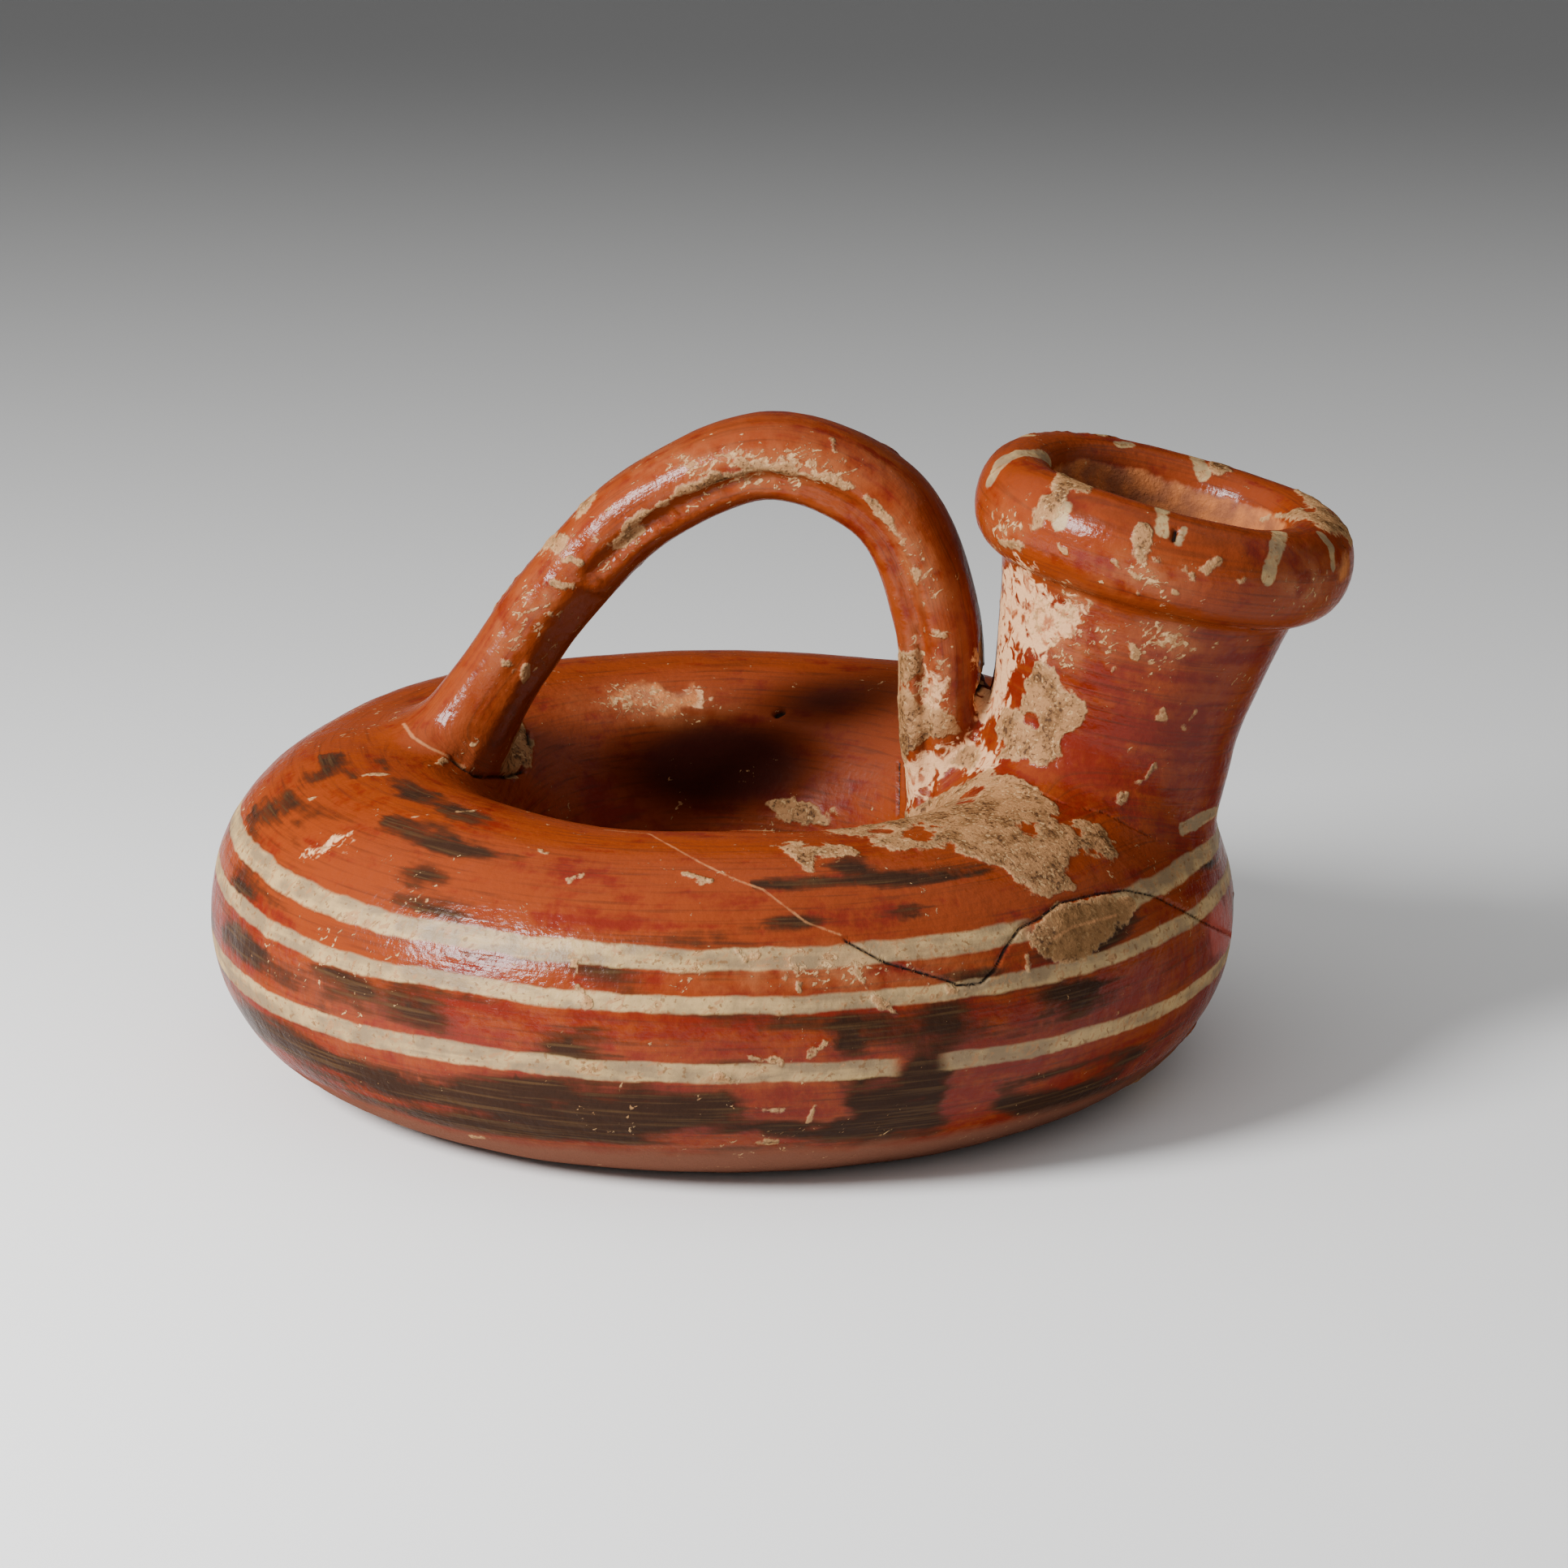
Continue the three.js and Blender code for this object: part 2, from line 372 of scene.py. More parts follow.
@dataclass(frozen=True)
class Handle:
    """The strap handle: a grooved section swept along a line in the upright plane."""

    line: tuple[Span, ...] = (
        (-32.0, 34.6), (-25.0, 45.7), (-17.9, 55.4), (-8.0, 65.0), (6.4, 70.8),
        (19.6, 65.3), (25.2, 52.4), (25.9, 41.5), (26.6, 33.0), (29.5, 23.0),
    )
    offset: float = 1.0
    half_width: float = 7.0
    half_thickness: float = 4.85
    squareness: float = 2.5
    groove_depth: float = 0.21
    groove_at: float = -0.3
    groove_span: float = 0.2
    groove_least: float = 0.25
    groove_run: Span = (26.0, 32.0)
    facet_way: Span = (-0.6, -0.8)
    facet_at: float = 5.0
    facet_edge: float = 0.4
    facet_start: Span = (23.0, 7.0)
    facet_rise: float = 1.15
    facet_end: Span = (27.0, 29.0)
    facet_fade: float = 4.0
    root_spread: float = 0.3
    root_reach: float = 13.0
    grain_start: float = 30.0
    grain_sideways: float = 0.1
    grain_outward: float = 1.2
    steps: int = 28
    batch: int = 20000
    far: float = 40.0
    margin: float = 16.0

    def stations(self) -> tuple[Array, Array, Array]:
        """Points along the handle's line, the directions there and the lengths run so far.

        Returns:
            The points, the unit directions and the lengths.
        """
        given = np.array(self.line)
        knots = np.vstack([2 * given[0] - given[1], given, 2 * given[-1] - given[-2]])
        gaps = np.sqrt(np.linalg.norm(np.diff(knots, axis=0), axis=1))
        share = np.linspace(0.0, 1.0, self.steps, endpoint=False)[:, None]
        run = []
        for i in range(1, len(knots) - 2):
            before, start, end, after = knots[i - 1 : i + 3]
            first, middle, last = gaps[i - 1 : i + 2]
            leave = (start - before) / first - (end - before) / (first + middle) + (end - start) / middle
            reach = (end - start) / middle - (after - start) / (middle + last) + (after - end) / last
            square, cube = share**2, share**3
            run.append(
                start * (2 * cube - 3 * square + 1)
                + leave * middle * (cube - 2 * square + share)
                + end * (3 * square - 2 * cube)
                + reach * middle * (cube - square)
            )
        centres = np.vstack(run + [given[-1:]])
        ways = np.gradient(centres, axis=0)
        ways /= np.linalg.norm(ways, axis=1, keepdims=True)
        steps = np.linalg.norm(np.diff(centres, axis=0), axis=1)
        return centres, ways, np.concatenate([[0.0], np.cumsum(steps)])

    def local(self, points: Array) -> tuple[Array, Array, Array, Array]:
        """Length along the handle, place across it, height out of the hole, and run past either end.

        Args:
            points: places about the ring's axis, in mm.

        Returns:
            The four values for each point; the last is negative between the ends.
        """
        centres, ways, lengths = self.stations()
        flat = points[:, [0, 2]]
        nearest = np.concatenate([
            np.argmin(((part[:, None, :] - centres[None]) ** 2).sum(2), axis=1)
            for part in np.array_split(flat, max(1, len(flat) // self.batch))
        ])
        off = flat - centres[nearest]
        way = ways[nearest]
        past = off[:, 0] * way[:, 0] + off[:, 1] * way[:, 1]
        out = -off[:, 0] * way[:, 1] + off[:, 1] * way[:, 0]
        last = len(centres) - 1
        over = np.where(nearest == 0, -past, np.where(nearest == last, past, -1.0))
        return lengths[nearest] + past, points[:, 1] - self.offset, out, over

    def distance(self, points: Array) -> Array:
        """Distance to the handle; far points only get a large number.

        Args:
            points: places about the ring's axis, in mm.

        Returns:
            Distances that are negative inside.
        """
        low = np.min(np.array(self.line), axis=0) - self.margin
        high = np.max(np.array(self.line), axis=0) + self.margin
        near = (np.abs(points[:, 1]) < self.half_width + self.margin) & (points[:, 0] > low[0])
        near &= (points[:, 0] < high[0]) & (points[:, 2] > low[1]) & (points[:, 2] < high[1])
        result = np.full(len(points), self.far)
        if not near.any():
            return result
        along, across, out, over = self.local(points[near])
        length = self.stations()[2][-1]
        to_end = np.minimum(along, length - along)
        spread = 1.0 + self.root_spread * np.clip(1.0 - to_end / self.root_reach, 0.0, 1.0) ** 2
        depth = self.groove_least + (1.0 - self.groove_least) * rise(along, *self.groove_run)
        depth = self.groove_depth * depth
        from_groove = (out / (self.half_thickness * spread) - self.groove_at) / self.groove_span
        kept = 1.0 - depth * np.exp(-from_groove * from_groove)
        wide = self.half_width * spread
        strap = oval(across / kept, out, wide, self.half_thickness * spread, self.squareness)
        facet = across * self.facet_way[0] + out * self.facet_way[1]
        facet = facet - self.facet_at * spread - self.facet_rise * rise(along, *self.facet_start)
        facet = facet - self.facet_fade * rise(along, *self.facet_end)
        strap = -soft_min(-strap, -facet, self.facet_edge)
        result[near] = np.maximum(strap, over)
        return result

    def grain(self, points: Array, stretch: float) -> Array:
        """The run of the smoothing along the handle, set so that it meets the ring's at both roots.

        Args:
            points: places about the ring's axis, in mm.
            stretch: how much longer the run is drawn along than across.

        Returns:
            One place in the run for each point.
        """
        along, across, out, _ = self.local(points)
        reach = Ring.mid_radius / stretch
        length = self.stations()[2][-1]
        climb = self.grain_start + self.grain_outward * out + across
        return np.stack([reach * (2.0 * along / length - 1.0), self.grain_sideways * out, climb], 1)


@dataclass(frozen=True)
class View:
    """Where the photograph was taken from, about the ring's axis, in pixels of the square photograph."""

    pixels: float = 1932.0
    focal: float = 6310.0
    distance: float = 600.0
    turn: float = 8.0
    height: float = 15.31
    target: Triple = (7.308, 1.027, 31.6)
    sensor: float = 36.0
    clip: float = 0.01

    def axes(self) -> Array:
        """Rows that point right, up and back towards the eye.

        Returns:
            Three unit rows.
        """
        turn, height = math.radians(self.turn), math.radians(self.height)
        level = math.cos(height)
        back = np.array([math.sin(turn) * level, -math.cos(turn) * level, math.sin(height)])
        right = np.array([math.cos(turn), math.sin(turn), 0.0])
        return np.stack([right, np.cross(back, right), back])

    def eye(self) -> Array:
        """The eye's place."""
        return np.array(self.target) + self.axes()[2] * self.distance

    def seen_at(self, points: Array) -> Array:
        """The pixel where each point is seen.

        Args:
            points: places about the ring's axis, in mm.

        Returns:
            One pixel for each point.
        """
        own = (points - self.eye()) @ self.axes().T
        middle = self.pixels / 2.0
        return np.stack([
            middle - self.focal * own[:, 0] / own[:, 2],
            middle + self.focal * own[:, 1] / own[:, 2],
        ], 1)

    def rays(self, pixels: Array) -> Array:
        """Unit directions from the eye through pixels.

        Args:
            pixels: pixels of the photograph.

        Returns:
            One direction for each pixel.
        """
        middle = self.pixels / 2.0
        ahead = np.full(len(pixels), -self.focal)
        own = np.stack([pixels[:, 0] - middle, middle - pixels[:, 1], ahead], 1)
        own /= np.linalg.norm(own, axis=1, keepdims=True)
        return own @ self.axes()

    def camera(self, shift: Vector) -> bpy.types.Object:
        """Makes the scene's camera, with the ring's axis shifted to its place in the row frame.

        Args:
            shift: where the ring's axis stands in the row frame, in metres.

        Returns:
            The camera.
        """
        data = bpy.data.cameras.new("camera")
        data.sensor_width = self.sensor
        data.lens = self.sensor * self.focal / self.pixels
        data.clip_start = self.clip
        held = bpy.data.objects.new("camera", data)
        held.location = Vector(self.eye()) * MM + shift
        held.rotation_mode = "QUATERNION"
        held.rotation_quaternion = Vector(-self.axes()[2]).to_track_quat("-Z", "Y")
        bpy.context.scene.collection.objects.link(held)
        bpy.context.scene.camera = held
        return held


@dataclass(frozen=True)
class Patch:
    """A soft patch on the clay: an ellipse as the photograph shows it, in its pixels."""

    at: Pixel
    reach: Pixel
    turn: float = 0.0

    def middle(self) -> Pixel:
        """The pixel at the patch's middle."""
        return self.at

    def size(self) -> float:
        """The patch's greatest reach from its middle, in pixels."""
        return max(self.reach)

    def depth(self, pixels: Array) -> Array:
        """How far inside the patch each pixel is, in pixels.

        Args:
            pixels: pixels of the photograph.

        Returns:
            Depths that are negative outside.
        """
        turn = math.radians(self.turn)
        off = pixels - np.array(self.at)
        along = off[:, 0] * math.cos(turn) + off[:, 1] * math.sin(turn)
        across = off[:, 1] * math.cos(turn) - off[:, 0] * math.sin(turn)
        return (1.0 - np.hypot(along / self.reach[0], across / self.reach[1])) * min(self.reach)


@dataclass(frozen=True)
class Blot:
    """A sharp-edged patch on the clay: its outline in the photograph's pixels."""

    outline: tuple[Pixel, ...]

    def middle(self) -> Pixel:
        """A pixel near the outline's middle."""
        return tuple(np.array(self.outline, dtype=float).mean(0))

    def size(self) -> float:
        """The outline's greatest reach from its middle, in pixels."""
        return float(np.linalg.norm(np.array(self.outline) - self.middle(), axis=1).max())

    def depth(self, pixels: Array) -> Array:
        """How far inside the outline each pixel is, in pixels.

        Args:
            pixels: pixels of the photograph.

        Returns:
            Depths that are negative outside.
        """
        corners = np.array(self.outline, dtype=float)
        gap = np.full(len(pixels), np.inf)
        within = np.zeros(len(pixels), dtype=bool)
        for start, end in zip(corners, np.roll(corners, -1, axis=0)):
            gap = np.minimum(gap, gap_to(pixels, start, end))
            crosses = (start[1] > pixels[:, 1]) != (end[1] > pixels[:, 1])
            way, climb = end - start, pixels[:, 1] - start[1]
            at = start[0] + way[0] * climb / (way[1] if abs(way[1]) > TINY else TINY)
            within ^= crosses & (pixels[:, 0] < at)
        return np.where(within, gap, -gap)


@dataclass(frozen=True)
class Stroke:
    """A line on the clay: pixels of the photograph that it runs through, and its half width in mm."""

    run: tuple[Pixel, ...]
    half: float = 0.2


class Mark(Enum):
    """What a patch or a line on the clay is."""

    CRUST = "crust"
    WORN = "worn"
    CLOUD = "cloud"
    BLUSH = "blush"
    PAINT = "paint"
    CRACK = "crack"
    SEAM = "seam"
    # dark gaps at joins and pits, and painted shade in creases
    GAP = "gap"
    RAW = "raw"
    DUST = "dust"
    FADED = "faded"
    # painted shade: the cast shadow on the far inner wall of the hole, darkened into the colour
    SHADE = "shade"
    CLEAR = "clear"


RING_CRUST = Blot((
    (1007, 1018), (1061, 1012), (1128, 996), (1181, 962), (1231, 954), (1262, 967), (1302, 994),
    (1306, 1012), (1351, 1016), (1373, 1038), (1380, 1061), (1329, 1047), (1315, 1070), (1327, 1092),
    (1284, 1103), (1257, 1088), (1226, 1070), (1190, 1056), (1172, 1038), (1128, 1047), (1101, 1052),
    (1056, 1034),
))
RING_CRUST_TAIL = Blot((
    (952, 1043), (1007, 1043), (1047, 1047), (1059, 1054), (1003, 1058), (998, 1074), (985, 1070),
    (972, 1054),
))
BELLY_CRUST = Blot((
    (1264, 1150), (1306, 1114), (1351, 1103), (1391, 1101), (1402, 1114), (1378, 1141), (1333, 1186),
    (1306, 1190), (1284, 1181), (1271, 1168),
))
NECK_CRUST = Blot((
    (1277, 819), (1299, 828), (1308, 850), (1337, 877), (1330, 895), (1312, 908), (1308, 931),
    (1290, 944), (1272, 935), (1250, 937), (1232, 933), (1236, 913), (1219, 899), (1236, 877),
    (1254, 873), (1263, 850),
))
LEG_CRUST = Blot((
    (1103, 806), (1132, 799), (1136, 828), (1120, 841), (1129, 864), (1152, 877), (1178, 877),
    (1183, 899), (1165, 913), (1147, 908), (1129, 926), (1111, 935), (1103, 904),
))
WALL_FLAKE = Blot((
    (749, 863), (771, 848), (790, 839), (829, 851), (853, 841), (863, 856), (858, 868), (819, 882),
    (800, 868),
))
LIP_CRUST = Blot((
    (1272, 640), (1290, 609), (1308, 582), (1352, 600), (1326, 609), (1308, 627), (1294, 649),
))
RIM_FILM = Blot((
    (1553, 640), (1607, 636), (1634, 654), (1665, 667), (1656, 645), (1629, 618), (1598, 605),
    (1616, 627),
))
NECK_SCUFF = Blot((
    (1220, 690), (1263, 699), (1290, 721), (1326, 743), (1348, 761), (1326, 779), (1290, 801),
    (1254, 815), (1241, 833), (1245, 859), (1228, 886), (1200, 904), (1205, 788),
))
LEG_SCUFF = Blot((
    (1103, 940), (1143, 922), (1174, 913), (1219, 908), (1228, 935), (1174, 958), (1138, 984),
    (1111, 1002),
))
ROOT_SCAR = Blot(((640, 882), (654, 907), (652, 940), (635, 955), (600, 955), (606, 936), (625, 907)))
LOW_CLOUD = Blot((
    (258, 1196), (295, 1237), (345, 1262), (408, 1279), (459, 1304), (535, 1321), (619, 1325),
    (703, 1329), (787, 1338), (897, 1342), (930, 1362), (897, 1397), (787, 1404), (661, 1404),
    (577, 1397), (493, 1374), (442, 1352), (375, 1322), (328, 1296), (286, 1260),
))
RIGHT_CLOUD = Blot((
    (860, 1364), (949, 1373), (1007, 1387), (1047, 1373), (1039, 1337), (1070, 1333), (1110, 1329),
    (1128, 1302), (1168, 1311), (1160, 1346), (1176, 1382), (1146, 1404), (1056, 1409), (972, 1409),
    (860, 1404),
))
SIDE_CLOUD = Blot((
    (1226, 1337), (1306, 1329), (1396, 1297), (1420, 1302), (1374, 1346), (1297, 1376), (1244, 1382),
    (1217, 1364),
))

PATCHES: dict[Mark, tuple[Patch | Blot, ...]] = {
    Mark.CRUST: (
        RING_CRUST, RING_CRUST_TAIL, BELLY_CRUST, NECK_CRUST, LEG_CRUST, LIP_CRUST, RIM_FILM,
        Patch((991, 999), (34, 15), 10), Patch((1185, 935), (20, 12), -30),
        Patch((1408, 668), (10, 20), 8), Patch((1281, 638), (12, 17), 20),
        Patch((1503, 576), (14, 13), 30), Patch((925, 572), (20, 8)), ROOT_SCAR,
        Patch((682, 670), (14, 8), -50), Patch((686, 720), (13, 5), 20), Patch((622, 818), (8, 5), 30),
        Patch((648, 832), (4, 8), 10), Patch((775, 662), (18, 5), -30), Patch((739, 659), (8, 6)),
        Patch((722, 624), (12, 5), -35), Patch((714, 693), (10, 3), 5),
    ),
    Mark.WORN: (
        NECK_SCUFF, LEG_SCUFF,
        Patch((852, 858), (12, 7), 20), Patch((410, 1043), (16, 7), -8), Patch((1150, 850), (18, 24)),
    ),
    Mark.CLOUD: (
        LOW_CLOUD, RIGHT_CLOUD, SIDE_CLOUD, Patch((339, 1000), (30, 32), 60),
        Patch((366, 1016), (26, 20), 40), Patch((387, 959), (32, 13), -35),
        Patch((469, 936), (30, 9), -25), Patch((514, 977), (30, 9), 10),
        Patch((585, 1006), (34, 12), 8), Patch((547, 1038), (50, 14), 14),
        Patch((518, 1076), (26, 20), 10), Patch((602, 1121), (60, 10), 12),
        Patch((795, 1148), (90, 8), 2), Patch((290, 1092), (34, 20), 52),
        Patch((300, 1160), (40, 24), 50), Patch((518, 1245), (56, 24), 14),
        Patch((700, 1282), (84, 32), 8), Patch((752, 1207), (46, 16), 4),
        Patch((596, 1236), (40, 9), 8), Patch((410, 1200), (60, 12), 26),
        Patch((1085, 1086), (70, 3), -3), Patch((1048, 1066), (16, 10), 20),
        Patch((970, 1139), (30, 12)), Patch((1117, 1130), (22, 12)), Patch((1010, 1214), (40, 12)),
        Patch((1150, 1196), (46, 9), 4), Patch((1050, 1278), (24, 24), -6),
        Patch((1156, 1262), (50, 26), -8), Patch((1329, 1232), (62, 24), -14),
        Patch((1450, 1200), (50, 14), -34), Patch((1095, 1270), (60, 20), -4),
        Patch((560, 1180), (40, 8), 12), Patch((1340, 1145), (66, 36), -30),
    ),
    Mark.BLUSH: (Patch((1507, 1145), (18, 36)),),
    Mark.RAW: (Patch((1654, 699), (8, 19), 8), WALL_FLAKE),
    # painted shade: where the cast shadow falls on the far inner wall of the hole
    Mark.SHADE: (Patch((885, 942), (180, 85)), Patch((1018, 862), (150, 50), -6)),
    Mark.CLEAR: (
        Patch((1126, 1029), (24, 9), -8), Patch((1273, 1022), (10, 5)), Patch((1203, 977), (14, 4), -24),
        Patch((1096, 1026), (14, 4), -5), Patch((1268, 889), (10, 8), 20), Patch((1330, 1026), (8, 5)),
    ),
    Mark.DUST: (
        Patch((1405, 705), (90, 38), 12), Patch((1240, 650), (34, 52), 20), Patch((1610, 720), (44, 50)),
        Patch((1310, 770), (80, 60), 30), Patch((1440, 790), (64, 40)), Patch((655, 745), (140, 36), -56),
        Patch((930, 575), (230, 44)), Patch((1130, 690), (110, 40), 62), Patch((1145, 840), (90, 54), 80),
        Patch((1030, 1196), (220, 40), -3), Patch((940, 1320), (80, 24)), Patch((800, 870), (130, 34)),
    ),
    Mark.FADED: (Patch((1133, 1311), (34, 70)), Patch((1300, 1130), (44, 30), -30)),
}

# Small flecks of crust, each a short line through two or three pixels, and their half width in mm.
FLECK_HALF = 0.06
FLECKS: tuple[tuple[Pixel, ...], ...] = (
    ((385, 984), (415, 972)), ((398, 1045), (429, 1041)), ((509, 1007), (543, 1003)),
    ((564, 1001), (606, 997)), ((638, 1041), (673, 1052)), ((646, 1047), (648, 1060)),
    ((699, 1083), (726, 1073)), ((846, 1077), (880, 1085)), ((526, 946), (560, 934)),
    ((446, 955), (480, 953)), ((701, 1174), (711, 1195), (709, 1211)), ((711, 1214), (728, 1237)),
    ((581, 1401), (602, 1401)), ((905, 1168), (927, 1195)), ((927, 1186), (940, 1168)),
    ((967, 1208), (981, 1190), (983, 1221)), ((1056, 1199), (1068, 1217)), ((1079, 1230), (1105, 1248)),
    ((1168, 1221), (1208, 1226)), ((1266, 1177), (1268, 1195)), ((1387, 1217), (1378, 1248)),
    ((1003, 1295), (1018, 1286)), ((887, 1329), (914, 1337)), ((927, 1304), (958, 1308)),
    ((931, 1366), (963, 1369)), ((994, 1382), (1005, 1362)), ((936, 1407), (956, 1407)),
    ((1352, 848), (1370, 826)), ((1397, 799), (1399, 810)), ((1413, 853), (1435, 864), (1431, 886)),
    ((1460, 895), (1473, 877)), ((1384, 966), (1411, 962), (1424, 935)), ((1378, 989), (1386, 976)),
    ((1223, 636), (1232, 667), (1263, 672)), ((1140, 778), (1166, 784)), ((1411, 667), (1428, 694)),
    ((1346, 700), (1366, 712)), ((1392, 704), (1410, 718), (1402, 731)), ((1422, 710), (1446, 729)),
    ((1298, 664), (1312, 681)), ((1330, 734), (1352, 746)), ((1486, 702), (1501, 690)),
    ((1529, 716), (1541, 700)), ((1368, 690), (1380, 700)), ((1452, 700), (1470, 709)),
    ((1599, 726), (1612, 716)), ((1023, 543), (1028, 558)), ((674, 722), (698, 722)),
    ((650, 751), (679, 756)),
)
GROOVE_CRUST = (
    Stroke(((727, 669), (752, 656)), 0.2),
    Stroke(((771, 650), (805, 627), (829, 613)), 0.35),
    Stroke(((838, 607), (870, 596), (906, 584), (940, 577), (975, 581)), 0.75),
    Stroke(((975, 581), (1018, 590), (1045, 601)), 0.35),
    Stroke(((1068, 615), (1090, 636), (1110, 660), (1121, 680)), 0.3),
    Stroke(((1128, 700), (1130, 722)), 0.15),
)

STROKES: dict[Mark, tuple[Stroke, ...]] = {
    Mark.CRUST: GROOVE_CRUST + tuple(Stroke(run, FLECK_HALF) for run in FLECKS),
    Mark.PAINT: (
        Stroke(((1457, 1022), (1475, 1011), (1506, 996)), 0.75),
        Stroke(((1222, 588), (1236, 566), (1260, 557), (1288, 562)), 1.3),
        Stroke(((1305, 643), (1309, 629)), 1.1),
        Stroke(((1378, 548), (1392, 547)), 0.7),
        Stroke(((1472, 564), (1484, 584)), 0.9),
        Stroke(((1432, 628), (1433, 656)), 0.8),
        Stroke(((1452, 668), (1459, 652)), 0.4),
        Stroke(((1578, 656), (1572, 680), (1563, 712)), 0.95),
        Stroke(((1628, 658), (1640, 674), (1643, 697)), 0.6),
    ),
    Mark.CRACK: (
        Stroke(
            (
                (1043, 1159), (1092, 1186), (1168, 1208), (1181, 1214), (1208, 1212), (1226, 1195),
                (1239, 1168), (1257, 1143), (1280, 1132), (1306, 1112), (1351, 1101), (1387, 1096),
                (1422, 1103), (1454, 1119), (1485, 1137), (1518, 1153),
            ),
            0.1,
        ),
        Stroke(((1107, 940), (1106, 1003)), 0.1),
        Stroke(((1655, 671), (1661, 677), (1660, 686)), 0.08),
        Stroke(((1259, 966), (1308, 989), (1361, 1002), (1424, 1033)), -0.04),
    ),
    Mark.SEAM: (
        Stroke(
            ((745, 1022), (800, 1028), (860, 1061), (905, 1083), (940, 1096), (994, 1137), (1036, 1152)),
            0.02,
        ),
        Stroke(((497, 892), (509, 909), (528, 921), (553, 933), (572, 945)), 0.12),
        Stroke(((1297, 1157), (1320, 1143), (1374, 1128)), 0.06),
    ),
    # dark gaps at the left root and pits; the runs between the handle's right leg and the neck and under
    # the lip are painted crease shade
    Mark.GAP: (
        Stroke(((557, 935), (572, 947), (584, 955), (600, 958), (625, 957), (645, 949)), 0.14),
        Stroke(((651, 903), (653, 917)), 0.12),
        Stroke(((1216, 812), (1213, 835), (1205, 858)), 0.5),
        Stroke(((1447, 664), (1449, 654)), 0.2),
        Stroke(((1513, 773), (1550, 777), (1586, 775)), 0.12),
        Stroke(((957, 880), (964, 876)), 0.3),
    ),
}


def blend(**shares: float) -> Recipe:
    """What places a layer of the finish: values by name, each with its share."""
    return tuple(shares.items())


@dataclass(frozen=True)
class Layer:
    """A layer of the finish: what places it, the values it sets in between, its cover and its colour."""

    recipe: Recipe
    start: float
    end: float
    cover: float = 1.0
    colour: Colour = (0.0, 0.0, 0.0, 1.0)


@dataclass(frozen=True)
class Mottle:
    """Soft noise in a finish: its lumps to a unit of length, how much finer it gets, and its twist."""

    scale: float
    detail: float = 3.0
    twist: float = 0.0


class Mixed(Enum):
    """What a mix is of, with the places of its two sources and its result among the node's sockets."""

    COLOURS = ("RGBA", 6, 7, 2)
    NUMBERS = ("FLOAT", 2, 3, 0)


